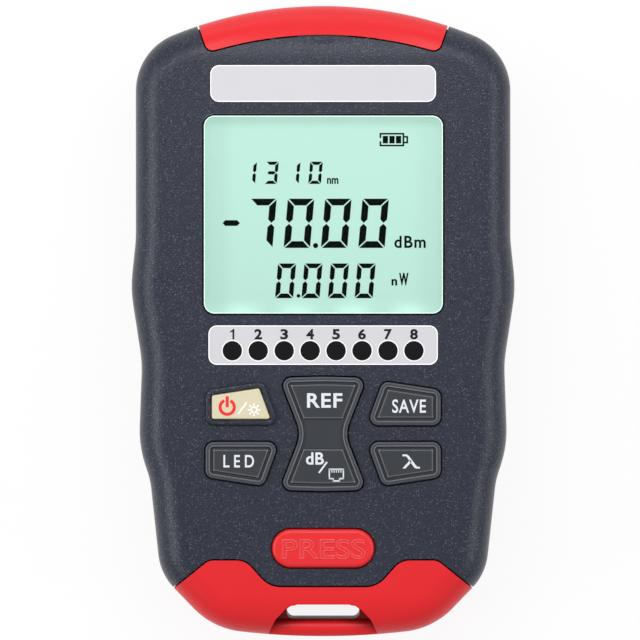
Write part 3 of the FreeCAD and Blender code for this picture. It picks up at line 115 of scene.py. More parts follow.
class Bench:
    """Lays out and joins the nodes of one material."""

    def __init__(self, material: bpy.types.Material) -> None:
        """Open a material's nodes."""
        material.use_nodes = True
        self.tree = material.node_tree

    @cached_property
    def shader(self) -> bpy.types.Node:
        """The material's own surface shader."""
        return self.tree.nodes["Principled BSDF"]

    @cached_property
    def place(self) -> Socket:
        """Object coordinates, from one node that is made at its first use."""
        return self.add("ShaderNodeTexCoord").outputs["Object"]

    def add(self, kind: str) -> bpy.types.Node:
        """A new node of a kind."""
        return self.tree.nodes.new(kind)

    def feed(self, target: Socket, value: Socket | float | Sequence[float]) -> None:
        """Join a socket to a node's result, or set it to a plain value.

        Args:
            target: The socket that is fed.
            value: A node's result, a number or a colour with its alpha.
        """
        if isinstance(value, bpy.types.NodeSocket):
            self.tree.links.new(value, target)
        else:
            target.default_value = value

    def noise(self, scale: float, detail: float = 2.0) -> Socket:
        """Noise over object coordinates.

        Args:
            scale: Cells in a metre.
            detail: Octaves.

        Returns:
            The noise value.
        """
        noise = self.add("ShaderNodeTexNoise")
        noise.inputs["Scale"].default_value = scale
        noise.inputs["Detail"].default_value = detail
        self.feed(noise.inputs["Vector"], self.place)
        return noise.outputs["Fac"]

    def step(self, value: Socket, low: float, high: float, curve: Step = Step.SMOOTH) -> Socket:
        """Step of a value from 0 at one level to 1 at another.

        Args:
            value: The value.
            low: Level that gives 0.
            high: Level that gives 1, which may be the smaller number.
            curve: Form of the step.

        Returns:
            The stepped value.
        """
        ramp = self.add("ShaderNodeMapRange")
        ramp.interpolation_type = curve.value
        ramp.inputs["From Min"].default_value = low
        ramp.inputs["From Max"].default_value = high
        self.feed(ramp.inputs["Value"], value)
        return ramp.outputs["Result"]

    def spread(self, value: Socket, low: float, high: float) -> Socket:
        """A value from 0 to 1 spread over a range: low plus the value times the difference.

        Args:
            value: The value.
            low: Result at 0.
            high: Result at 1.

        Returns:
            The spread value.
        """
        ramp = self.add("ShaderNodeMapRange")
        ramp.inputs["To Min"].default_value = low
        ramp.inputs["To Max"].default_value = high
        self.feed(ramp.inputs["Value"], value)
        return ramp.outputs["Result"]

    def sum(self, kind: Sum, *values: Socket | float) -> Socket:
        """One maths node.

        Args:
            kind: What it works out.
            values: What it works with, in its own order.

        Returns:
            The result's socket.
        """
        node = self.add("ShaderNodeMath")
        node.operation = kind.value
        for target, value in zip(node.inputs, values):
            self.feed(target, value)
        return node.outputs["Value"]

    def layer(self, factor: Socket, under: Socket | Colour, over: Colour) -> Socket:
        """A plain colour laid over another colour by a factor.

        Args:
            factor: 0 shows the lower colour, 1 the upper one.
            under: The lower colour, plain or from a node.
            over: The upper colour.

        Returns:
            The mixed colour.
        """
        mix = self.add("ShaderNodeMix")
        mix.data_type = "RGBA"
        self.feed(mix.inputs[0], factor)
        self.feed(mix.inputs[6], (*under, 1) if isinstance(under, tuple) else under)
        self.feed(mix.inputs[7], (*over, 1))
        return mix.outputs[2]

    def bump(self, height: Socket, strength: float, distance: float) -> None:
        """Bend the shader's normals by a height.

        Args:
            height: The height, 0 to 1.
            strength: How far the normals follow it.
            distance: Depth of the relief in metres.
        """
        bump = self.add("ShaderNodeBump")
        bump.inputs["Strength"].default_value = strength
        bump.inputs["Distance"].default_value = distance
        self.feed(bump.inputs["Height"], height)
        self.feed(self.shader.inputs["Normal"], bump.outputs["Normal"])

    def blend(self, factor: Socket, first: Socket, second: Socket) -> Socket:
        """Mix of two shaders.

        Args:
            factor: 0 shows the first, 1 the second.
            first: The first shader.
            second: The second shader.

        Returns:
            The mixed shader.
        """
        mix = self.add("ShaderNodeMixShader")
        for target, value in zip(mix.inputs, (factor, first, second)):
            self.feed(target, value)
        return mix.outputs["Shader"]

    def show(self, shader: Socket) -> None:
        """Make a shader the material's surface."""
        self.feed(self.tree.nodes["Material Output"].inputs["Surface"], shader)


# ---- finishes --------------------------------------------------------------------------
DRIFT_SCALE = 60.0              # cells of the colour drift in a metre
DRIFT_DETAIL = 3.0
GRAIN_RELIEF = 0.4              # depth of the grain as a share of its size
GRAIN_TIPS = (0.50, 0.66)       # grain levels between which its tips turn bright, as painted glints
ROUGHNESS_SCALE = 350.0         # cells of the roughness drift in a metre
ROUGHNESS_DRIFT = 0.06          # how far the roughness drifts to either side
ROUGHNESS_LIMITS = (0.02, 1.0)
SPECK_CELL = 0.40               # size in millimetres of the cells that may hold a painted glint
SPECK_EDGE = (0.50, 0.10)       # distance from a cell's middle where a speck ends and is full
EDGE_HIGHLIGHT_OPENNESS = (0.96, 0.55)    # openness inside an edge where the painted edge highlight starts and is full
FULL_SHADE_OPENNESS = 0.35           # openness of a groove whose painted shade is full
HOLLOW_SHADE_LEVEL = 0.15              # brightness of a groove under full painted shade, as a share of the colour
OPENNESS_SAMPLES = 6


class Grain(Enum):
    """Kinds of moulded surface, as the size of the grain in millimetres."""

    SMOOTH = 0.0
    SATIN = 0.16
    SPARK = 0.22
    SOFT = 0.10


@dataclass(frozen=True)
class Finish:
    """A procedural finish with colour drift, grain, painted glints on the grain, a painted highlight
    on raised edges and painted shade in hollows.

    Attributes:
        name: The material's name.
        colour: Linear base colour.
        roughness: Middle of the roughness range.
        metallic: 1 for bare metal.
        grain: Kind of surface grain.
        grain_depth: Strength of the grain's bump.
        drift: How far the colour drifts in brightness over the piece.
        sparkle: Brightness of the painted glints on the grain's tips.
        specular: Specular level.
        coat: Weight of a clear gloss coat.
        glow: Strength of light of its own.
        worn: How far raised edges go towards worn_colour, as a painted highlight along them.
        worn_colour: Colour of the painted highlights along raised edges and of the speck glints.
        dirt: How far grooves and hollows are darkened with painted shade.
        shelter: Openness below which the painted shade of a hollow starts.
        reach: Width in millimetres over which edges and grooves are felt.
        specks: Share of the surface's cells that hold a bright dot, a painted glint.
    """

    name: str
    colour: Colour
    roughness: float = 0.5
    metallic: float = 0.0
    grain: Grain = Grain.SMOOTH
    grain_depth: float = 0.0
    drift: float = 0.04
    sparkle: float = 0.0
    specular: float = 0.5
    coat: float = 0.0
    glow: float = 0.0
    worn: float = 0.0
    worn_colour: Colour = (0.2, 0.2, 0.2)
    dirt: float = 0.0
    shelter: float = 0.92
    reach: float = 0.4
    specks: float = 0.0

    def build(self) -> bpy.types.Material:
        """Make the material's nodes.

        Returns:
            The finished material.
        """
        material = bpy.data.materials.new(self.name)
        bench = Bench(material)
        sockets = bench.shader.inputs
        sockets["Metallic"].default_value = self.metallic
        sockets["Specular IOR Level"].default_value = self.specular
        sockets["Coat Weight"].default_value = self.coat
        if self.glow:
            sockets["Emission Color"].default_value = (*self.colour, 1)
            sockets["Emission Strength"].default_value = self.glow
        drift = bench.noise(DRIFT_SCALE, DRIFT_DETAIL)
        colour = bench.layer(drift, self._scaled(1 - self.drift), self._scaled(1 + self.drift))
        if self.grain is not Grain.SMOOTH:
            colour = self._grained(bench, colour)
        bench.feed(sockets["Base Color"], self._used(bench, colour))
        low = max(self.roughness - ROUGHNESS_DRIFT, ROUGHNESS_LIMITS[0])
        high = min(self.roughness + ROUGHNESS_DRIFT, ROUGHNESS_LIMITS[1])
        bench.feed(sockets["Roughness"], bench.spread(bench.noise(ROUGHNESS_SCALE), low, high))
        return material

    def _grained(self, bench: Bench, colour: Socket) -> Socket:
        """Add the grain's relief, and the painted glints on its tips and in bright dots.

        Args:
            bench: The material's bench.
            colour: Colour so far.

        Returns:
            Colour with the painted glints.
        """
        size = self.grain.value * MM
        grain = bench.noise(1 / size)
        # painted glints: the grain's highest tips are lightened
        if self.sparkle:
            tips = bench.step(grain, *GRAIN_TIPS)
            colour = bench.layer(tips, colour, self._scaled(1 + self.sparkle))
        # painted glints: bright dots in some of the cells
        if self.specks:
            colour = bench.layer(self._speck(bench), colour, self.worn_colour)
        bench.bump(grain, self.grain_depth, size * GRAIN_RELIEF)
        return colour

    def _used(self, bench: Bench, colour: Socket) -> Socket:
        """Paint a highlight on the raised edges and shade in the grooves and hollows, evenly all
        round.

        Args:
            bench: The material's bench.
            colour: Colour so far.

        Returns:
            Colour with the painted edge highlight and the painted shade.
        """
        # painted highlight: raised edges are lightened towards the highlight colour
        if self.worn:
            edge = bench.step(self._openness(bench, True), *EDGE_HIGHLIGHT_OPENNESS)
            colour = bench.layer(bench.sum(Sum.TIMES, edge, self.worn), colour, self.worn_colour)
        # painted shade: grooves and hollows are darkened
        if self.dirt:
            hollow = bench.step(self._openness(bench, False), self.shelter, FULL_SHADE_OPENNESS)
            colour = bench.layer(bench.sum(Sum.TIMES, hollow, self.dirt), colour,
                                 self._scaled(HOLLOW_SHADE_LEVEL))
        return colour

    def _openness(self, bench: Bench, inside: bool) -> Socket:
        """How open the surface is: 1 on a plain face, less at an edge or in a groove.

        Args:
            bench: The material's bench.
            inside: Whether it is felt from inside, for edges, or from outside, for grooves.

        Returns:
            The openness.
        """
        node = bench.add("ShaderNodeAmbientOcclusion")
        node.inside = inside
        node.only_local = True
        node.samples = OPENNESS_SAMPLES
        node.inputs["Distance"].default_value = self.reach * MM
        return node.outputs["AO"]

    def _speck(self, bench: Bench) -> Socket:
        """Painted glints: small bright dots near the middle of the cells whose random number is high
        enough.

        Args:
            bench: The material's bench.

        Returns:
            1 in a dot, 0 beside it.
        """
        cells = bench.add("ShaderNodeTexVoronoi")
        cells.inputs["Scale"].default_value = 1 / (SPECK_CELL * MM)
        bench.feed(cells.inputs["Vector"], bench.place)
        dot = bench.step(cells.outputs["Distance"], *SPECK_EDGE)
        split = bench.add("ShaderNodeSeparateColor")
        bench.feed(split.inputs["Color"], cells.outputs["Color"])
        chosen = bench.step(split.outputs[0], 1 - self.specks, 1.0)
        return bench.sum(Sum.TIMES, dot, chosen)

    def _scaled(self, factor: float) -> Colour:
        """The base colour made brighter or darker."""
        return tuple(min(c * factor, 1.0) for c in self.colour)


# painted shade in the shell's hollows, such as the thumb hollow under the cover, and painted glints
# on its grain and in bright dots
SHELL = Finish("shell_plastic", srgb(35, 39, 51), 0.29, grain=Grain.SPARK, grain_depth=0.80,
               drift=0.05, sparkle=1.1, specular=0.32, specks=0.55, worn_colour=srgb(92, 94, 102),
               dirt=0.7, shelter=0.99, reach=4.0)
# painted shade in hollows, such as the scoop round the strap slot
RED = Finish("red_plastic", srgb(216, 34, 40), 0.38, grain=Grain.SATIN, grain_depth=0.24,
             drift=0.03, specular=0.28, dirt=0.8, shelter=0.99, reach=4.5)
BUTTON_RED = Finish("button_red_plastic", srgb(221, 37, 42), 0.36, grain=Grain.SATIN,
                    grain_depth=0.08, drift=0.02, specular=0.4)
# lighter red of the word's ridge: a painted highlight
WORD_RIDGE_HIGHLIGHT = Finish("word_ridge_painted_highlight_red", srgb(228, 58, 62), 0.34, grain=Grain.SOFT,
                    grain_depth=0.05, drift=0.02)
# darker red of the word's foot line: a painted shadow
WORD_FOOT_SHADOW = Finish("word_foot_painted_shadow_red", srgb(200, 28, 34), 0.42, grain=Grain.SOFT,
                   grain_depth=0.05, drift=0.02)
# painted highlight along the keys' raised rims, and painted shade in their grooves
KEY_GREY = Finish("key_grey_rubber", srgb(41, 45, 52), 0.42, grain=Grain.SOFT, grain_depth=0.06,
                  drift=0.03, worn=0.85, worn_colour=srgb(122, 124, 130), dirt=0.85)
# painted shade in the key's grooves
KEY_CREAM = Finish("key_cream_plastic", srgb(208, 200, 170), 0.45, grain=Grain.SOFT,
                   grain_depth=0.05, drift=0.03, dirt=0.3)
PLATE = Finish("plate_satin_silver", srgb(200, 200, 205), 0.38, grain=Grain.SATIN,
               grain_depth=0.06, drift=0.05)
LAMP = Finish("lamp_smoked_plastic", srgb(12, 12, 15), 0.32, drift=0.03, specular=0.2)
SEGMENT = Finish("display_segment_black", srgb(5, 10, 10), 0.5, drift=0.02, specular=0.0)
PRINT_BLACK = Finish("print_black", srgb(20, 20, 24), 0.5, drift=0.02, specular=0.2)
PRINT_WHITE = Finish("print_white", srgb(216, 219, 224), 0.5, drift=0.02)
PRINT_RED = Finish("print_red", srgb(232, 26, 32), 0.45, drift=0.02)
# pale print, and the painted highlight along the plates' edges
PALE_PRINT_AND_HIGHLIGHT = Finish("print_and_painted_highlight_white", srgb(248, 248, 248), 0.5, drift=0.01)
# painted highlight along the window's bevel, with a faint glow of its own
WINDOW_BEVEL_HIGHLIGHT = Finish("window_bevel_painted_highlight_green", srgb(224, 250, 240), 0.4, glow=0.12, drift=0.01)
GASKET = Finish("gasket_black", srgb(10, 10, 13), 0.6, drift=0.03, specular=0.1)
BOARD = Finish("board_green_mask", srgb(18, 84, 44), 0.35, drift=0.10)
CHIP = Finish("package_black_epoxy", srgb(26, 26, 28), 0.6, grain=Grain.SOFT, grain_depth=0.1)
BLACK = Finish("black_plastic", srgb(30, 31, 34), 0.45, grain=Grain.SATIN, grain_depth=0.15)
GOLD = Finish("gold_contacts", srgb(222, 178, 92), 0.28, metallic=1.0, drift=0.05)
NICKEL = Finish("nickel_plate", srgb(196, 196, 192), 0.24, metallic=1.0, drift=0.05)
STEEL = Finish("plain_steel", srgb(176, 178, 180), 0.34, metallic=1.0, drift=0.06)
RUBBER = Finish("mat_rubber", srgb(150, 152, 154), 0.7, grain=Grain.SOFT, grain_depth=0.1)
WHITE = Finish("diffuser_white", srgb(228, 230, 226), 0.5, drift=0.02)
DIODE = Finish("diode_epoxy", srgb(232, 236, 232), 0.12, coat=0.5, drift=0.03)
JACKET = Finish("cell_jacket", srgb(70, 74, 84), 0.35, metallic=0.6, drift=0.04)


@dataclass(frozen=True)
class ClearWindow:
    """Clear moulded plastic: seen through, with a faint reflection that grows at a slant.

    Attributes:
        name: The material's name.
        shine: Share of the reflection that is kept.
        roughness: Middle of the surface's roughness.
        haze: How far the roughness drifts, as a share of it.
        haze_scale: Cells of that drift in a metre.
        index: Refractive index.
    """

    name: str = "clear_window"
    shine: float = 0.15
    roughness: float = 0.06
    haze: float = 0.3
    haze_scale: float = 300.0
    index: float = 1.45

    def build(self) -> bpy.types.Material:
        """Make the material's nodes.

        Returns:
            The finished material.
        """
        material = bpy.data.materials.new(self.name)
        bench = Bench(material)
        bench.tree.nodes.remove(bench.shader)
        clear = bench.add("ShaderNodeBsdfTransparent")
        gloss = bench.add("ShaderNodeBsdfGlossy")
        gloss.inputs["Color"].default_value = (1, 1, 1, 1)
        rough = bench.spread(bench.noise(self.haze_scale), self.roughness * (1 - self.haze),
                             self.roughness * (1 + self.haze))
        bench.feed(gloss.inputs["Roughness"], rough)
        slant = bench.add("ShaderNodeFresnel")
        slant.inputs["IOR"].default_value = self.index
        share = bench.sum(Sum.TIMES, slant.outputs["Fac"], self.shine)
        bench.show(bench.blend(share, clear.outputs["BSDF"], gloss.outputs["BSDF"]))
        return material


@dataclass(frozen=True)
class LitDisplay:
    """Display cell lit from its lower edge by a row of diodes. Its lengths are metres.

    Attributes:
        name: The material's name.
        colour: Linear colour of the lit cell.
        glow: Share of the colour that is light of its own.
        specular: Specular level.
        fall: How much the light falls from the upper edge to the lower one.
        tall: Height over which it falls.
        middle: Height of the cell's middle.
        edge: Height of the window's lower edge.
        behind: How far behind that edge a spot is brightest.
        pitch: Distance between the diodes.
        first: Place of one diode along the edge.
        spot: Brightness that a diode adds at the edge.
        ripple: How far the spots fade between the diodes.
        reach: How far up a spot shows.
        roughness: Lowest and highest roughness.
        grain_scale: Cells of the surface's grain in a metre.
        grain_depth: Strength of the grain's bump.
        grain_relief: Depth of the grain.
    """

    name: str = "display_lit_green"
    colour: Colour = srgb(189, 233, 218)
    glow: float = 0.72
    specular: float = 0.2
    fall: float = 0.12
    tall: float = 0.038
    middle: float = 0.0206
    edge: float = 0.0014
    behind: float = 0.0008
    pitch: float = 0.0108
    first: float = -0.0158
    spot: float = 0.50
    ripple: float = 0.36
    reach: float = 0.0038
    roughness: tuple[float, float] = (0.5, 0.6)
    grain_scale: float = 900.0
    grain_depth: float = 0.05
    grain_relief: float = 0.0001

    def build(self) -> bpy.types.Material:
        """Make the material's nodes.

        Returns:
            The finished material.
        """
        material = bpy.data.materials.new(self.name)
        bench = Bench(material)
        sockets = bench.shader.inputs
        own = tuple(c * (1 - self.glow) for c in self.colour)
        sockets["Base Color"].default_value = (*own, 1)
        sockets["Specular IOR Level"].default_value = self.specular
        sockets["Emission Color"].default_value = (*self.colour, 1)
        bench.feed(sockets["Emission Strength"],
                   bench.sum(Sum.TIMES, self._light(bench), self.glow))
        grain = bench.noise(self.grain_scale)
        bench.feed(sockets["Roughness"], bench.spread(grain, *self.roughness))
        bench.bump(grain, self.grain_depth, self.grain_relief)
        return material

    def _light(self, bench: Bench) -> Socket:
        """Brightness over the cell: an even slope, and a row of spots along the lower edge.

        The slope is 1 plus the fall per metre times the height over the middle. The row is the
        ripple times the cosine of a turn per pitch, plus the rest, and it fades with the height.

        Args:
            bench: The material's bench.

        Returns:
            The brightness.
        """
        split = bench.add("ShaderNodeSeparateXYZ")
        bench.feed(split.inputs["Vector"], bench.place)
        across, up = split.outputs["X"], split.outputs["Y"]
        rate = self.fall / self.tall
        slope = bench.sum(Sum.TIMES_PLUS, up, rate, 1 - rate * self.middle)
        near = bench.step(up, self.edge + self.reach, self.edge - self.behind, Step.SMOOTHER)
        turn = bench.sum(Sum.TIMES_PLUS, across, 2 * math.pi / self.pitch,
                         -2 * math.pi * self.first / self.pitch)
        wave = bench.sum(Sum.COSINE, turn)
        row = bench.sum(Sum.TIMES_PLUS, wave, self.ripple, 1 - self.ripple)
        return bench.sum(Sum.TIMES_PLUS, bench.sum(Sum.TIMES, row, near), self.spot, slope)


LENS = ClearWindow()
DISPLAY = LitDisplay()


class Buildable(Protocol):
    """Anything that makes a named material."""

    name: str

    def build(self) -> bpy.types.Material:
        """Make the material."""
        ...


class Workshop:
    """Makes each finish once and hands it out."""

    def __init__(self) -> None:
        """Start with no materials made."""
        self._made: dict[str, bpy.types.Material] = {}

    def material(self, finish: Buildable) -> bpy.types.Material:
        """The material of a finish, made at its first use.

        Args:
            finish: The finish.

        Returns:
            Its material.
        """
        if finish.name not in self._made:
            self._made[finish.name] = finish.build()
        return self._made[finish.name]

    def dress(self, node: bpy.types.Object, finish: Buildable) -> None:
        """Give a construction node one finish in all its slots.

        Args:
            node: The node.
            finish: The finish.
        """
        material = self.material(finish)
        if not node.material_slots:
            node.data.materials.append(material)
        for slot in node.material_slots:
            slot.material = material


# ---- making pieces ---------------------------------------------------------------------
def make_piece(name: str, surface: Surface, material: bpy.types.Material, body: str,
               slot: str) -> bpy.types.Object:
    """Put a mesh into the scene and let it ride on a body.

    Args:
        name: The piece's name.
        surface: Points in millimetres, one row each, and the corner numbers of each face.
        material: Its finish.
        body: The body that it moves with.
        slot: The record's slot that it would be repainted with; not used.

    Returns:
        The new object.
    """
    points, faces = surface
    mesh = bpy.data.meshes.new(name)
    mesh.from_pydata((np.asarray(points, float) * MM).tolist(), [], [list(f) for f in faces])
    mesh.validate()
    mesh.update()
    piece = bpy.data.objects.new(name, mesh)
    bpy.context.scene.collection.objects.link(piece)
    mesh.materials.append(material)
    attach(piece, body)
    LOG.info("piece %s: %d points", name, len(points))
    return piece


def slabs(polygons: np.ndarray, low: float, high: float) -> Surface:
    """Upright prisms over many polygons with the same number of corners.

    Each polygon is repeated at the low and the high level, with a floor, a roof and a wall
    between each pair of neighbouring corners.

    Args:
        polygons: Corners, shaped (polygons, corners, 2), counter-clockwise.
        low: Height of the floors.
        high: Height of the roofs.

    Returns:
        Points and faces.
    """
    count, corners, _ = polygons.shape
    levels = np.repeat(polygons[:, None], 2, axis=1)
    heights = np.broadcast_to(np.array([low, high])[None, :, None, None], (count, 2, corners, 1))
    points = np.concatenate([levels, heights], axis=3).reshape(-1, 3)
    ring = np.arange(corners)
    after = (ring + 1) % corners
    walls = np.stack([ring, after, after + corners, ring + corners], axis=1)
    starts = np.arange(count) * 2 * corners
    faces = [(ring[::-1] + s).tolist() for s in starts]
    faces += [(ring + corners + s).tolist() for s in starts]
    faces += (walls[None] + starts[:, None, None]).reshape(-1, 4).tolist()
    return points, faces


def ring_surface(centre: Point, radii: Point, low: float, high: float,
                 arc: Point = (0.0, 360.0), steps: int = 64) -> Surface:
    """Flat ring, or an arc of one, with a rectangular section carried along a circle.

    A point is the centre plus the section's radius times (cosine, sine) of the angle.

    Args:
        centre: Middle of the circle.
        radii: Inner and outer radius.
        low: Lower height.
        high: Upper height.
        arc: First and last angle in degrees.
        steps: Sections along the arc.

    Returns:
        Points and faces.
    """
    start, end = arc
    whole = abs(end - start) >= 360
    count = steps if whole else steps + 1
    angle = np.radians(start + (end - start) * np.arange(count) / steps)
    inner, outer = radii
    radius = np.array([inner, outer, outer, inner])
    height = np.array([low, low, high, high])
    x = centre[0] + np.cos(angle)[:, None] * radius
    y = centre[1] + np.sin(angle)[:, None] * radius
    points = np.stack([x, y, np.broadcast_to(height, x.shape)], axis=2).reshape(-1, 3)
    i = np.arange(steps)
    j = (i + 1) % count
    side = np.arange(4)
    after = (side + 1) % 4
    quads = np.stack([i[:, None] * 4 + side, j[:, None] * 4 + side, j[:, None] * 4 + after,
                      i[:, None] * 4 + after], axis=2).reshape(-1, 4)
    faces = quads.tolist()
    if not whole:
        faces += [[0, 1, 2, 3], [4 * steps + 3, 4 * steps + 2, 4 * steps + 1, 4 * steps]]
    return points, faces


def joined(parts: Sequence[Surface]) -> Surface:
    """Several surfaces as one.

    Args:
        parts: The surfaces.

    Returns:
        All their points, and their faces with the corner numbers moved on.
    """
    points, faces, start = [], [], 0
    for part_points, part_faces in parts:
        points.append(part_points)
        faces += [[c + start for c in f] for f in part_faces]
        start += len(part_points)
    return np.concatenate(points), faces


def bar(start: Point, end: Point, width: float) -> np.ndarray:
    """Straight bar between two points: each end moved half the width to either side.

    Args:
        start: Middle of one end.
        end: Middle of the other end.
        width: Width of the bar.

    Returns:
        Its four corners, counter-clockwise.
    """
    a, b = np.array(start, float), np.array(end, float)
    along = (b - a) / np.linalg.norm(b - a)
    across = np.array([-along[1], along[0]]) * width / 2
    return np.stack([a - across, b - across, b + across, a + across])


def centre_of(node: str) -> Point:
    """Middle of a construction node seen from the front, in millimetres."""
    low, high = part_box(node)
    return (low.x + high.x) / 2 / MM, (low.y + high.y) / 2 / MM


def top_of(node: str) -> float:
    """Highest point of a construction node, in millimetres."""
    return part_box(node)[1].z / MM


@dataclass(frozen=True)
class Relief:
    """How a flat piece sits on a face.

    Attributes:
        rise: How far it stands over the face.
        sink: How far it reaches under the face.
    """

    rise: float
    sink: float = 0.0

    def levels(self, face: float) -> tuple[float, float]:
        """Lowest and highest height of the piece on a face at a height."""
        return face - self.sink, face + self.rise


@dataclass(frozen=True)
class Lettering:
    """A printed or raised word that is fitted into a box.

    Attributes:
        text: The word.
        box: Left, bottom, right and top from the point that it is placed at.
        weight: How much the strokes are thickened, as a share of the letter height.
        spacing: Letter spacing, 1 is plain.
        outline: Radius of a thin outline drawn in place of full letters, 0 for full letters.
        curve_steps: Steps along a curve of a letter.
        section_steps: Steps across the outline's section.
    """

    text: str
    box: tuple[float, float, float, float]
    weight: float = 0.0
    spacing: float = 1.0
    outline: float = 0.0
    curve_steps: int = 6
    section_steps: int = 2

    def surface(self, at: Point, low: float, high: float) -> Surface:
        """The word as a mesh, moved and stretched into its box.

        Args:
            at: The point that the box is measured from.
            low: Height of its underside.
            high: Height of its face.

        Returns:
            Points and faces.
        """
        points, faces = self._plain()
        least, most = points.min(0), points.max(0)
        left, bottom, right, top = self.box
        target_low = np.array([at[0] + left, at[1] + bottom, low])
        target_high = np.array([at[0] + right, at[1] + top, high])
        return target_low + (points - least) / (most - least) * (target_high - target_low), faces

    def _plain(self) -> Surface:
        """The word's mesh as the text tool makes it, one unit tall.

        Returns:
            Points and faces.
        """
        curve = bpy.data.curves.new(self.text, "FONT")
        curve.body = self.text
        curve.size = 1.0
        curve.offset = self.weight
        curve.space_character = self.spacing
        curve.resolution_u = self.curve_steps
        if self.outline:
            curve.fill_mode = "NONE"
            curve.bevel_depth = self.outline / (self.box[3] - self.box[1])
            curve.bevel_resolution = self.section_steps
        else:
            curve.extrude = 0.5
        holder = bpy.data.objects.new(self.text, curve)
        bpy.context.scene.collection.objects.link(holder)
        bpy.context.view_layer.update()
        mesh = bpy.data.meshes.new_from_object(holder.evaluated_get(
            bpy.context.evaluated_depsgraph_get()))
        points = np.empty(len(mesh.vertices) * 3)
        mesh.vertices.foreach_get("co", points)
        faces = [list(p.vertices) for p in mesh.polygons]
        bpy.data.objects.remove(holder)
        bpy.data.meshes.remove(mesh)
        bpy.data.curves.remove(curve)
        return points.reshape(-1, 3), faces


# ---- display ---------------------------------------------------------------------------
class Segment(Enum):
    """The seven bars of a digit, under the letters that display makers use."""

    A = "top"
    B = "upper right"
    C = "lower right"
    D = "bottom"
    E = "lower left"
    F = "upper left"
    G = "middle"


DIGITS: dict[str, str] = {"0": "ABCDEF", "1": "BC", "3": "ABCDG", "7": "ABC"}


@dataclass
class DigitRow:
    """A row of seven-bar digits.

    Attributes:
        text: The digits, left to right.
        right: Right edge of each digit at its top, from the window's centre.
        bottom: Lower edge, from the window's centre.
        width: Width of a digit.
        height: Height of a digit.
        stroke: Width of a bar.
        gap: Space between bars.
        slant: Lean to the right, in degrees.
    """

    text: str
    right: Sequence[float]
    bottom: float
    width: float
    height: float
    stroke: float
    gap: float
    slant: float = 5.0

    def _bars(self) -> dict[Segment, list[Point]]:
        """Outline of each bar of an upright digit, turned over from three of them.

        Returns:
            The six corners of each bar, counter-clockwise.
        """
        w, h, t, g = self.width, self.height, self.stroke, self.gap
        m, k = h / 2, self.gap / 2
        top = [(g, h), (w / 2, h), (w - g, h), (w - g - t, h - t), (w / 2, h - t), (g + t, h - t)]
        upper = [(0, m + k + t / 2), (t / 2, m + k), (t, m + k + t / 2), (t, h - g - t),
                 (t / 2, h - g - t / 2), (0, h - g)]
        middle = [(t / 2 + g, m), (t + g, m - t / 2), (w - t - g, m - t / 2),
                  (w - t / 2 - g, m), (w - t - g, m + t / 2), (t + g, m + t / 2)]
        lower = [(x, h - y) for x, y in upper][::-1]
        return {Segment.A: top[::-1], Segment.D: [(x, h - y) for x, y in top],
                Segment.F: upper, Segment.B: [(w - x, y) for x, y in upper][::-1],
                Segment.E: lower, Segment.C: [(w - x, y) for x, y in lower][::-1],
                Segment.G: middle}

    def polygons(self) -> np.ndarray:
        """Every lit bar of the row, leaned and put in its place.

        A point moves right by its height times the tangent of the slant.

        Returns:
            Corners, shaped (bars, corners, 2).
        """
        bars = self._bars()
        lean = math.tan(math.radians(self.slant))
        placed = []
        for digit, right in zip(self.text, self.right):
            shape = np.array([bars[Segment[letter]] for letter in DIGITS[digit]], float)
            x = shape[..., 0] + right - self.width - self.height * lean + shape[..., 1] * lean
            placed.append(np.stack([x, shape[..., 1] + self.bottom], axis=2))
        return np.concatenate(placed)


@dataclass
class BatterySign:
    """Battery sign: an outline broken at its left side, a terminal and the bars inside.

    Attributes:
        left: Left edge, from the window's centre.
        right: Right edge.
        bottom: Lower edge.
        top: Upper edge.
        stroke: Width of the lines.
        corner: How far the left side reaches from the corners.
        shoulder: Distance of the terminal from the lower and the upper edge.
        terminal: Length of the terminal.
        bars: Number of bars.
        bar_start: Distance of the first bar from the left edge.
        bar_pitch: Distance from bar to bar.
        bar_size: Width and height of a bar.
    """

    left: float = 10.9
    right: float = 15.65
    bottom: float = 13.1
    top: float = 15.7
    stroke: float = 0.32
    corner: float = 1.0
    shoulder: float = 0.75
    terminal: float = 0.75
    bars: int = 3
    bar_start: float = 0.62
    bar_pitch: float = 1.27
    bar_size: Point = (1.0, 1.45)

    def surfaces(self, centre: Point, low: float, high: float) -> list[Surface]:
        """Lines and bars of the sign.

        Args:
            centre: The window's centre.
            low: Height of its underside.
            high: Height of its face.

        Returns:
            The lines, and the bars.
        """
        x0, x1 = centre[0] + self.left, centre[0] + self.right
        y0, y1 = centre[1] + self.bottom, centre[1] + self.top
        t, half, tip = self.stroke, self.stroke / 2, x1 + self.terminal
        step_low, step_high = y0 + self.shoulder, y1 - self.shoulder
        lines = [((x0, y0 + half), (x1, y0 + half)), ((x0, y1 - half), (x1, y1 - half)),
                 ((x1 - half, y0 + t), (x1 - half, y1 - t)),
                 ((x0 + half, y0 + t), (x0 + half, y0 + self.corner)),
                 ((x0 + half, y1 - self.corner), (x0 + half, y1 - t)),
                 ((x1, step_low), (tip, step_low)), ((x1, step_high), (tip, step_high)),
                 ((tip - half, step_low), (tip - half, step_high))]
        middle = (y0 + y1) / 2
        starts = [x0 + self.bar_start + self.bar_pitch * i for i in range(self.bars)]
        bars = [bar((x, middle), (x + self.bar_size[0], middle), self.bar_size[1]) for x in starts]
        return [slabs(np.stack([bar(a, b, t) for a, b in lines]), low, high),
                slabs(np.stack(bars), low, high)]


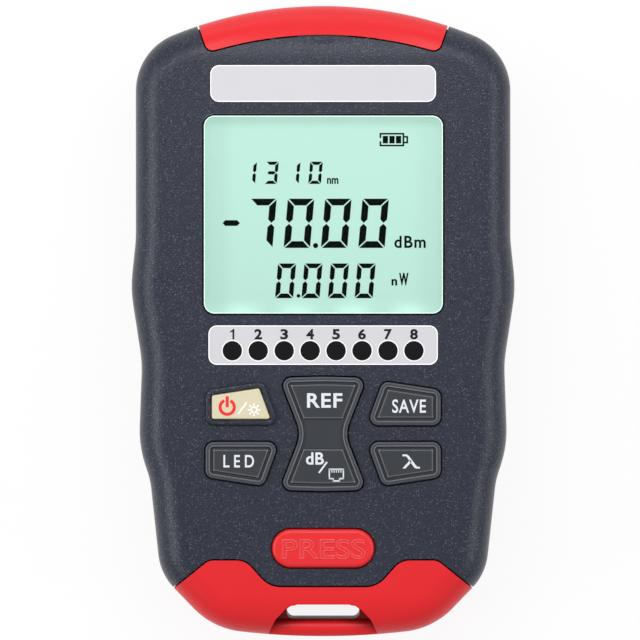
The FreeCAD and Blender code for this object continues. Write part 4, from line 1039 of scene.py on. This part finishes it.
@dataclass
class Readout:
    """Everything shown on the display cell, placed from the window's centre.

    Attributes:
        relief: How the segments sit on the cell.
        wavelength: Upper row of digits.
        power: Large row of digits.
        watts: Lower row of digits.
        minus: Corners of the minus sign.
        dots: Place and radius of the decimal points.
        dot_corners: Corners of a decimal point.
        battery: Battery sign.
        units: Unit letters.
    """

    relief: Relief = Relief(0.05)
    wavelength: DigitRow = field(default_factory=lambda: DigitRow(
        "1310", (-12.75, -8.55, -4.35, -0.05), 5.85, 2.45, 4.3, 0.62, 0.12))
    power: DigitRow = field(default_factory=lambda: DigitRow(
        "7000", (-8.95, -1.7, 5.5, 12.7), -6.5, 5.1, 9.5, 1.3, 0.18))
    watts: DigitRow = field(default_factory=lambda: DigitRow(
        "0000", (-5.2, -0.1, 5.0, 10.15), -16.2, 3.5, 6.7, 0.9, 0.15))
    minus: tuple[Point, ...] = ((-19.4, -1.7), (-18.9, -2.25), (-16.6, -2.25), (-16.05, -1.7),
                                (-16.6, -1.15), (-18.9, -1.15))
    dots: tuple[tuple[float, float, float], ...] = ((-1.45, -6.05, 0.5), (-4.75, -15.75, 0.36))
    dot_corners: int = 24
    battery: BatterySign = field(default_factory=BatterySign)
    units: tuple[Lettering, ...] = (
        Lettering("nm", (0.75, 5.85, 2.95, 7.0), 0.03),
        Lettering("dBm", (13.75, -6.5, 19.8, -4.15), 0.022, 1.15),
        Lettering("n", (13.2, -13.75, 14.3, -12.5), 0.035),
        Lettering("W", (14.65, -13.75, 16.5, -11.3), 0.045))

    def build(self, shop: Workshop) -> None:
        """Make the digits, points, battery sign and unit letters.

        Args:
            shop: Gives the finishes.
        """
        centre = centre_of("display_window")
        low, high = self.relief.levels(top_of("lcd_glass"))
        shapes = [row.polygons() for row in (self.wavelength, self.power, self.watts)]
        shapes.append(np.array([self.minus], float))
        shapes += [self._dot(x, y, radius) for x, y, radius in self.dots]
        parts = [slabs(shape + centre, low, high) for shape in shapes]
        parts += self.battery.surfaces(centre, low, high)
        letters = [unit.surface(centre, low, high) for unit in self.units]
        material = shop.material(SEGMENT)
        make_piece("display_segments", joined(parts), material, "housing", "chip")
        make_piece("display_units", joined(letters), material, "housing", "chip")

    def _dot(self, x: float, y: float, radius: float) -> np.ndarray:
        """Decimal point: corners at the middle plus the radius times (cosine, sine).

        Args:
            x: Middle, from the window's centre.
            y: Middle, from the window's centre.
            radius: Its radius.

        Returns:
            Corners, shaped (1, corners, 2).
        """
        angle = np.linspace(0, 2 * math.pi, self.dot_corners, endpoint=False)
        return np.stack([x + radius * np.cos(angle), y + radius * np.sin(angle)], axis=1)[None]


# ---- printing --------------------------------------------------------------------------
@dataclass
class IndicatorPrint:
    """Numerals and bright rings of the indicator plate.

    Attributes:
        pitch: Distance from lamp to lamp.
        count: Number of lamps.
        lamp_drop: How far the lamps lie under the plate's middle.
        rise: How far the numerals' middles lie over it.
        size: Width and height of a numeral.
        weight: Thickening of the numerals.
        one: Corners of the numeral 1 in shares of its height, from the middle of its foot.
        ring: Inner and outer radius of a ring.
        ink: How the numerals sit on the plate.
        ring_ink: How the rings sit on the plate.
    """

    pitch: float = 5.0
    count: int = 8
    lamp_drop: float = 1.08
    rise: float = 2.1
    size: Point = (1.48, 2.0)
    weight: float = 0.034
    one: tuple[Point, ...] = ((0.02, 0), (0.19, 0), (0.19, 1), (0.06, 1), (0.0, 0.9),
                              (-0.2, 0.8), (-0.2, 0.67), (0.02, 0.74))
    ring: Point = (1.88, 2.06)
    ink: Relief = Relief(0.03)
    ring_ink: Relief = Relief(0.03, 0.01)

    def build(self, shop: Workshop) -> None:
        """Print the numerals above the lamps and a pale ring round each lamp.

        Args:
            shop: Gives the finishes.
        """
        cx, cy = centre_of("indicator_plate")
        face = top_of("indicator_plate")
        places = cx + (np.arange(self.count) - (self.count - 1) / 2) * self.pitch
        numerals = [self._numeral(number, (x, cy + self.rise), face)
                    for number, x in enumerate(places, 1)]
        rings = [ring_surface((x, cy - self.lamp_drop), self.ring, *self.ring_ink.levels(face))
                 for x in places]
        make_piece("indicator_numerals", joined(numerals), shop.material(PRINT_BLACK),
                   "housing", "plate")
        make_piece("indicator_rings", joined(rings), shop.material(PALE_PRINT_AND_HIGHLIGHT),
                   "housing", "plate")

    def _numeral(self, number: int, at: Point, face: float) -> Surface:
        """One numeral: the 1 is an upright stroke with a flag, the others are lettering.

        Args:
            number: The numeral.
            at: Its middle.
            face: Height of the plate's face.

        Returns:
            Points and faces.
        """
        levels = self.ink.levels(face)
        half, tall = self.size[0] / 2, self.size[1]
        if number == 1:
            shape = np.array(self.one) * tall + (at[0], at[1] - tall / 2)
            return slabs(shape[None], *levels)
        box = (-half, -tall / 2, half, tall / 2)
        return Lettering(str(number), box, self.weight).surface(at, *levels)


@dataclass
class Outline:
    """A thin frame that follows a rounded rectangle.

    Attributes:
        name: The piece's name.
        node: The construction node that it is centred on.
        size: Outer width and height.
        radius: Outer corner radius.
        width: Width of the frame.
        relief: How it sits on the plates' face.
        finish: Its finish.
        slot: The record's material slot.
        shift: How far it lies off the node's centre.
        steps: Points of a corner.
    """

    name: str
    node: str
    size: Point
    radius: float
    width: float
    relief: Relief
    finish: Finish
    slot: str
    shift: Point = (0.0, 0.0)
    steps: int = 12

    def build(self, shop: Workshop, face: float) -> None:
        """Carry a rectangular section round the outline.

        Args:
            shop: Gives the finishes.
            face: Height of the face that it sits on.
        """
        low, high = self.relief.levels(face)
        outer, inner = self._ring(0.0), self._ring(self.width)
        n = len(outer)
        corners = ((outer, low), (outer, high), (inner, high), (inner, low))
        points = np.concatenate([np.column_stack([ring, np.full(n, z)]) for ring, z in corners])
        i = np.arange(n)
        j = (i + 1) % n
        faces = np.concatenate([np.stack([i + a * n, j + a * n, j + b * n, i + b * n], axis=1)
                                for a, b in ((0, 1), (1, 2), (2, 3), (3, 0))])
        make_piece(self.name, (points, faces.tolist()), shop.material(self.finish), "housing",
                   self.slot)

    def _ring(self, inset: float) -> np.ndarray:
        """Rounded rectangle: each corner's centre plus its radius at each angle of a quarter turn.

        Args:
            inset: How far inside the outer edge the ring lies.

        Returns:
            The ring's points, counter-clockwise.
        """
        cx, cy = centre_of(self.node)
        radius = self.radius - inset
        quarter = math.pi / 2
        angle = (np.linspace(0, quarter, self.steps)[None] + np.arange(4)[:, None] * quarter).ravel()
        side_x = np.repeat([1, -1, -1, 1], self.steps)
        side_y = np.repeat([1, 1, -1, -1], self.steps)
        x = cx + self.shift[0] + side_x * (self.size[0] / 2 - self.radius) + radius * np.cos(angle)
        y = cy + self.shift[1] + side_y * (self.size[1] / 2 - self.radius) + radius * np.sin(angle)
        return np.stack([x, y], axis=1)


@dataclass
class FaceOutlines:
    """Painted highlights along the edges of the two plates and along the window's bevel, and the
    window's dark gasket.

    Attributes:
        window: Width and height of the window's sight.
        window_shift: How far it lies off the window's centre.
        window_radius: Its corner radius.
        bevel: Width of the bevel's painted highlight line.
        bevel_relief: How the bevel sits on the face.
        gasket: Width of the gasket.
        gasket_relief: How the gasket sits on the face.
        plates: The plates and their corner radii.
        plate_edge: Width of a plate's painted highlight along its edge.
        edge_relief: How it sits on the face.
    """

    window: Point = (46.0, 38.1)
    window_shift: Point = (0.05, -0.1)
    window_radius: float = 2.0
    bevel: float = 0.16
    bevel_relief: Relief = Relief(0.01, 0.1)
    gasket: float = 0.36
    gasket_relief: Relief = Relief(0.012, 0.6)
    plates: tuple[tuple[str, float], ...] = (("name_plate", 1.75), ("indicator_plate", 1.65))
    plate_edge: float = 0.2
    edge_relief: Relief = Relief(0.02, 0.05)

    def build(self, shop: Workshop) -> None:
        """Make the four outlines.

        Args:
            shop: Gives the finishes.
        """
        wide = tuple(c + 2 * self.gasket for c in self.window)
        # the window's bevel is a painted highlight line
        rows = [Outline("window_bevel", "display_window", self.window, self.window_radius,
                        self.bevel, self.bevel_relief, WINDOW_BEVEL_HIGHLIGHT, "window", self.window_shift),
                Outline("window_gasket", "display_window", wide, self.window_radius + self.gasket,
                        self.gasket, self.gasket_relief, GASKET, "black", self.window_shift)]
        # each plate gets a painted highlight along its edge
        for node, radius in self.plates:
            low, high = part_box(node)
            size = ((high.x - low.x) / MM, (high.y - low.y) / MM)
            rows.append(Outline(node + "_edge", node, size, radius, self.plate_edge,
                                self.edge_relief, PALE_PRINT_AND_HIGHLIGHT, "plate"))
        face = top_of("name_plate")
        for row in rows:
            row.build(shop, face)


@dataclass
class KeyPrint:
    """What the prints on the keys share.

    Attributes:
        drop: How far the printed pad lies under the key's top.
        ink: How the print sits on the pad.
    """

    drop: float = 0.1
    ink: Relief = Relief(0.04, 0.02)

    def levels(self, key: str) -> tuple[float, float]:
        """Lowest and highest height of the print on a key."""
        return self.ink.levels(top_of(key) - self.drop)


@dataclass
class KeyWords(KeyPrint):
    """Words on the grey keys, each riding on its own key.

    Attributes:
        words: Lettering of each key, placed from the key's middle.
    """

    words: dict[str, tuple[Lettering, ...]] = field(default_factory=lambda: {
        "rocker_key": (Lettering("REF", (-3.1, 5.05, 3.7, 7.85), 0.022, 1.1),
                       Lettering("dB", (-3.3, -5.9, 0.15, -3.55), 0.022, 1.05)),
        "save_key": (Lettering("SAVE", (-2.57, -1.76, 3.93, 0.84), 0.014, 1.1),),
        "lamp_key": (Lettering("LED", (-3.33, -0.74, 2.57, 1.66), 0.014, 1.55),),
    })

    def build(self, shop: Workshop) -> None:
        """Print the words of every key.

        Args:
            shop: Gives the finishes.
        """
        for key, words in self.words.items():
            centre, levels = centre_of(key), self.levels(key)
            letters = joined([word.surface(centre, *levels) for word in words])
            make_piece(key + "_legend", letters, shop.material(PRINT_WHITE), key, "plate")


@dataclass
class PowerKeyPrint(KeyPrint):
    """Power sign, slash and lamp sign on the cream key.

    Attributes:
        drop: 0, because the signs lie on the key's very top.
        power: Middle of the power sign, from the key's middle, as all places here.
        power_ring: Inner and outer radius of its ring.
        power_arc: First and last angle of its ring, in degrees.
        stem: Length and width of its stem.
        sun: Middle of the lamp sign.
        sun_ring: Inner and outer radius of its ring.
        ray: Where a ray starts and ends, from the sign's middle.
        ray_width: Width of a ray.
        rays: Number of rays.
        slash: Ends of the slash.
        slash_width: Width of the slash.
    """

    drop: float = 0.0
    power: Point = (-2.6, -0.66)
    power_ring: Point = (1.08, 1.66)
    power_arc: Point = (115.0, 425.0)
    stem: Point = (2.1, 0.58)
    sun: Point = (2.57, -1.16)
    sun_ring: Point = (0.42, 0.68)
    ray: Point = (0.82, 1.22)
    ray_width: float = 0.28
    rays: int = 8
    slash: tuple[Point, Point] = ((-0.53, -2.01), (1.17, 0.24))
    slash_width: float = 0.3

    def build(self, shop: Workshop) -> None:
        """Print the red sign, and the pale slash and lamp sign.

        Args:
            shop: Gives the finishes.
        """
        px, py = centre_of("power_key")
        low, high = self.levels("power_key")
        mark = (px + self.power[0], py + self.power[1])
        stem = bar(mark, (mark[0], mark[1] + self.stem[0]), self.stem[1])
        red = joined([ring_surface(mark, self.power_ring, low, high, self.power_arc),
                      slabs(stem[None], low, high)])
        make_piece("power_sign", red, shop.material(PRINT_RED), "power_key", "red")
        sun = (px + self.sun[0], py + self.sun[1])
        turns = np.radians(np.arange(self.rays) * 360 / self.rays)
        rays = [bar(*((sun[0] + r * math.cos(a), sun[1] + r * math.sin(a)) for r in self.ray),
                    self.ray_width) for a in turns]
        slash = bar(*((px + x, py + y) for x, y in self.slash), self.slash_width)
        pale = joined([ring_surface(sun, self.sun_ring, low, high),
                       slabs(np.stack(rays), low, high), slabs(slash[None], low, high)])
        make_piece("lamp_sign", pale, shop.material(PALE_PRINT_AND_HIGHLIGHT), "power_key", "plate")


@dataclass
class WavelengthPrint(KeyPrint):
    """Wavelength letter: a long stroke with two feet and a short leg.

    Attributes:
        corner: Lower left corner of the letter's box, from the key's middle.
        size: Width and height of the box.
        stroke: Corners of the long stroke, in shares of the box, counter-clockwise.
        leg: Corners of the short leg, in shares of the box, counter-clockwise.
    """

    corner: Point = (-0.67, -0.94)
    size: Point = (3.5, 2.7)
    stroke: tuple[Point, ...] = ((0.20, 0.87), (0.26, 0.82), (0.66, 0.08), (0.76, 0.0),
                                 (0.98, 0.0), (0.98, 0.12), (0.85, 0.12), (0.80, 0.16),
                                 (0.38, 0.90), (0.26, 1.0), (0.02, 1.0), (0.02, 0.87))
    leg: tuple[Point, ...] = ((0.02, 0.0), (0.18, 0.0), (0.53, 0.47), (0.45, 0.62))

    def build(self, shop: Workshop) -> None:
        """Print the letter.

        Args:
            shop: Gives the finishes.
        """
        corner = np.array(centre_of("wavelength_key")) + self.corner
        levels = self.levels("wavelength_key")
        shapes = [np.array(shape) * self.size + corner for shape in (self.stroke, self.leg)]
        letter = joined([slabs(shape[None], *levels) for shape in shapes])
        make_piece("wavelength_key_legend", letter, shop.material(PRINT_WHITE),
                   "wavelength_key", "plate")


@dataclass
class SocketPrint(KeyPrint):
    """Slash and a small network socket sign on the rocker's lower pad.

    Attributes:
        left: Left side of the sign, from the key's middle.
        right: Right side.
        bottom: Lower side.
        top: Upper side.
        stroke: Width of the lines.
        inset: Distance of the latch from both sides.
        latch: Depth of the latch.
        pins: Number of pins.
        pin_start: Distance of the first pin from the left side.
        pin_pitch: Distance from pin to pin.
        pin_size: Length and width of a pin.
        slash: Ends of the slash.
        slash_width: Width of the slash.
    """

    left: float = 1.2
    right: float = 3.9
    bottom: float = -8.6
    top: float = -6.8
    stroke: float = 0.26
    inset: float = 0.75
    latch: float = 0.45
    pins: int = 5
    pin_start: float = 0.5
    pin_pitch: float = 0.43
    pin_size: Point = (0.65, 0.18)
    slash: tuple[Point, Point] = ((-0.8, -7.5), (0.75, -5.4))
    slash_width: float = 0.34

    def build(self, shop: Workshop) -> None:
        """Print the slash and the sign.

        Args:
            shop: Gives the finishes.
        """
        rx, ry = centre_of("rocker_key")
        low, high = self.levels("rocker_key")
        x0, x1, y0, y1 = rx + self.left, rx + self.right, ry + self.bottom, ry + self.top
        half, foot = self.stroke / 2, y0 - self.latch
        in0, in1 = x0 + self.inset, x1 - self.inset
        lines = [((x0, y0), (x0, y1)), ((x1, y1), (x1, y0)), ((x0 - half, y1), (x1 + half, y1)),
                 ((x0 - half, y0), (in0, y0)), ((in1, y0), (x1 + half, y0)),
                 ((in0, y0 + half), (in0, foot)), ((in1, foot), (in1, y0 + half)),
                 ((in0 - half, foot), (in1 + half, foot))]
        shapes = [bar(a, b, self.stroke) for a, b in lines]
        for i in range(self.pins):
            x = x0 + self.pin_start + self.pin_pitch * i
            shapes.append(bar((x, y1 - self.pin_size[0]), (x, y1), self.pin_size[1]))
        shapes.append(bar(*((rx + x, ry + y) for x, y in self.slash), self.slash_width))
        make_piece("rocker_socket_sign", slabs(np.stack(shapes), low, high),
                   shop.material(PRINT_WHITE), "rocker_key", "plate")


@dataclass
class ButtonWord:
    """Raised outline word on the release button: a ridge in painted highlight red on a wider foot in
    painted shadow red.

    Attributes:
        size: Width and height of the word between its lines.
        shift: How far it lies off the middle between the two springs.
        ridge: Radius of the high line.
        ridge_relief: How the high line sits on the button.
        foot: Radius of the low line, drawn in painted shadow red.
        foot_relief: How the low line sits on the button.
    """

    size: Point = (15.9, 3.7)
    shift: Point = (0.15, -0.15)
    ridge: float = 0.12
    ridge_relief: Relief = Relief(0.1, 0.08)
    foot: float = 0.21
    foot_relief: Relief = Relief(0.035, 0.08)

    def build(self, shop: Workshop) -> None:
        """Draw the word twice: a wide low line as painted shadow, and a narrow high one on it as
        painted highlight.

        Args:
            shop: Gives the finishes.
        """
        at = (centre_of("press_button")[0] + self.shift[0],
              centre_of("press_spring_left")[1] + self.shift[1])
        face = top_of("press_button")
        # the low line is painted shadow, the high line is painted highlight
        for name, line, relief, finish in (
                ("press_word_painted_shadow", self.foot, self.foot_relief, WORD_FOOT_SHADOW),
                ("press_word", self.ridge, self.ridge_relief, WORD_RIDGE_HIGHLIGHT)):
            x, y = self.size[0] / 2 + line, self.size[1] / 2 + line
            word = Lettering("PRESS", (-x, -y, x, y), outline=line)
            make_piece(name, word.surface(at, *relief.levels(face)), shop.material(finish),
                       "press_button", "red")


# ---- construction nodes ----------------------------------------------------------------
@dataclass
class Dressing:
    """Finishes of the construction's own nodes.

    Attributes:
        plan: The nodes of each finish.
    """

    plan: dict[Buildable, tuple[str, ...]] = field(default_factory=lambda: {
        SHELL: ("front_shell", "rear_shell", "battery_door"),
        RED: ("dust_cover", "tail_front_shell", "tail_rear_shell"),
        BUTTON_RED: ("press_button",),
        LENS: ("display_window",),
        DISPLAY: ("lcd_glass",),
        WHITE: ("backlight_panel", "display_frame"),
        PLATE: ("name_plate", "indicator_plate"),
        LAMP: ("indicator_light_guide",),
        DIODE: ("torch_led",) + tuple("indicator_led_%d" % i for i in range(1, 9)),
        KEY_CREAM: ("power_key",),
        KEY_GREY: ("save_key", "lamp_key", "wavelength_key", "rocker_key"),
        RUBBER: ("keypad_mat",),
        BOARD: ("main_board", "tail_board"),
        CHIP: ("board_chips", "buzzer"),
        BLACK: ("end_plate", "network_jack", "tail_jack"),
        GOLD: ("network_jack_contacts", "tail_jack_contacts"),
        NICKEL: ("fibre_port_sleeve", "fibre_port_nut", "torch_bezel", "battery_contacts",
                 "battery_springs"),
        STEEL: ("detector", "dust_cover_pin", "board_screws", "case_screws", "tail_screws",
                "press_spring_left", "press_spring_right"),
        JACKET: ("battery_cell_1", "battery_cell_2", "battery_cell_3"),
    })

    def build(self, shop: Workshop, nodes: dict[str, bpy.types.Object]) -> None:
        """Dress every node.

        Args:
            shop: Gives the finishes.
            nodes: The construction's nodes by name.
        """
        named = {name: finish for finish, names in self.plan.items() for name in names}
        for name, node in nodes.items():
            shop.dress(node, named[name])
            LOG.info("node %s: %s", name, named[name].name)


# ---- stage -----------------------------------------------------------------------------
@dataclass(frozen=True)
class SoftBox:
    """A rectangular lamp that is aimed at the object.

    Attributes:
        name: The lamp's name.
        place: Its middle.
        size: Its width and height.
        power: Its power in watts.
    """

    name: str
    place: tuple[float, float, float]
    size: Point
    power: float

    def build(self) -> None:
        """Hang the lamp and aim it."""
        data = bpy.data.lights.new(self.name, "AREA")
        data.shape = "RECTANGLE"
        data.size, data.size_y = self.size[0] * MM, self.size[1] * MM
        data.energy = self.power
        lamp = bpy.data.objects.new(self.name, data)
        bpy.context.scene.collection.objects.link(lamp)
        lamp.location = tuple(c * MM for c in self.place)
        lamp.rotation_euler = (-Vector(lamp.location)).to_track_quat("-Z", "Y").to_euler()


@dataclass
class Floor:
    """White floor that keeps the object's shadow and is clear from underneath.

    Attributes:
        size: Length of a side in metres.
        drop: How far it lies under the object.
        tone: Its brightness under the lamps.
        roughness: Its roughness.
        white: Share of plain white that the camera, gloss and glass see in it.
    """

    size: float = 4.0
    drop: float = 0.2
    tone: float = 0.96
    roughness: float = 0.9
    white: float = 0.88

    def build(self) -> None:
        """Lay the floor a hair below the object."""
        half, level = self.size / 2, -self.drop * MM
        mesh = bpy.data.meshes.new("floor")
        mesh.from_pydata([(-half, -half, level), (half, -half, level), (half, half, level),
                          (-half, half, level)], [], [(0, 1, 2, 3)])
        floor = bpy.data.objects.new("floor", mesh)
        bpy.context.scene.collection.objects.link(floor)
        mesh.materials.append(self._material())

    def _material(self) -> bpy.types.Material:
        """Matt white, mixed with plain white for some rays, and clear for rays from below.

        Returns:
            The floor's material.
        """
        material = bpy.data.materials.new("floor_white")
        bench = Bench(material)
        sockets = bench.shader.inputs
        sockets["Base Color"].default_value = (self.tone, self.tone, self.tone, 1)
        sockets["Roughness"].default_value = self.roughness
        sockets["Specular IOR Level"].default_value = 0.0
        plain = bench.add("ShaderNodeEmission").outputs["Emission"]
        clear = bench.add("ShaderNodeBsdfTransparent").outputs["BSDF"]
        share = bench.sum(Sum.TIMES, self._seen(bench), self.white)
        white = bench.blend(share, bench.shader.outputs["BSDF"], plain)
        bench.show(bench.blend(self._underside(bench), white, clear))
        return material

    def _underside(self, bench: Bench) -> Socket:
        """1 for rays that come from below, and for those that start at the resting face.

        Args:
            bench: The material's bench.

        Returns:
            The value.
        """
        length = bench.add("ShaderNodeLightPath").outputs["Ray Length"]
        near = bench.sum(Sum.BELOW, length, 3 * self.drop * MM)
        behind = bench.add("ShaderNodeNewGeometry").outputs["Backfacing"]
        return bench.sum(Sum.LARGER, behind, near)

    @staticmethod
    def _seen(bench: Bench) -> Socket:
        """1 for rays from the camera and for those in gloss and glass.

        Args:
            bench: The material's bench.

        Returns:
            The value.
        """
        path = bench.add("ShaderNodeLightPath")
        value = path.outputs["Is Camera Ray"]
        for name in ("Is Glossy Ray", "Is Transmission Ray"):
            value = bench.sum(Sum.LARGER, value, path.outputs[name])
        return value


@dataclass
class Stage:
    """White floor, soft studio lamps and the camera straight above.

    Attributes:
        floor: The floor.
        surround: Strength of the even light from all round.
        lamps: A long box at each side, one beyond the port end, and one high over it.
        view_width: Width of the view at the height that it is true at.
        lens: Focal length.
        sensor: Width of the camera's sensor.
        true_height: Height at which the view is true.
        offset: How far the camera stands off the origin.
        clip: How far the camera sees, in metres.
    """

    floor: Floor = field(default_factory=Floor)
    surround: float = 0.42
    lamps: tuple[SoftBox, ...] = (
        SoftBox("left_box", (-520, 20, 390), (620, 140), 2.05),
        SoftBox("right_box", (520, 20, 390), (620, 140), 1.45),
        SoftBox("top_box", (0, 640, 150), (420, 160), 0.45),
        SoftBox("sky_box", (0, 245, 480), (440, 160), 1.2))
    view_width: float = 123.65
    lens: float = 500.0
    sensor: float = 36.0
    true_height: float = 26.0
    offset: Point = (-0.60, 0.19)
    clip: float = 100.0

    def build(self) -> None:
        """Set up floor, world, lamps and camera."""
        self.floor.build()
        self._world()
        for lamp in self.lamps:
            lamp.build()
        self._camera()

    def _world(self) -> None:
        """Even white light from all round."""
        world = bpy.data.worlds.new("studio")
        bpy.context.scene.world = world
        world.use_nodes = True
        background = world.node_tree.nodes["Background"]
        background.inputs["Color"].default_value = (1, 1, 1, 1)
        background.inputs["Strength"].default_value = self.surround

    def _camera(self) -> None:
        """Long lens straight above, framed a little off the object's centre."""
        data = bpy.data.cameras.new("camera")
        data.lens, data.sensor_width = self.lens, self.sensor
        data.clip_end = self.clip
        camera = bpy.data.objects.new("camera", data)
        bpy.context.scene.collection.objects.link(camera)
        distance = self.view_width * self.lens / self.sensor
        camera.location = (self.offset[0] * MM, self.offset[1] * MM,
                           (distance + self.true_height) * MM)
        bpy.context.scene.camera = camera


def main() -> None:
    """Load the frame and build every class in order."""
    logging.basicConfig(level=logging.INFO)
    for item in list(bpy.data.objects):
        bpy.data.objects.remove(item)
    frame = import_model()
    bpy.context.scene.view_settings.view_transform = "Standard"
    shop = Workshop()
    Dressing().build(shop, frame["nodes"])
    Readout().build(shop)
    IndicatorPrint().build(shop)
    FaceOutlines().build(shop)
    KeyWords().build(shop)
    PowerKeyPrint().build(shop)
    SocketPrint().build(shop)
    WavelengthPrint().build(shop)
    ButtonWord().build(shop)
    Stage().build()
    bpy.context.view_layer.update()


if __name__ == "__main__":
    main()
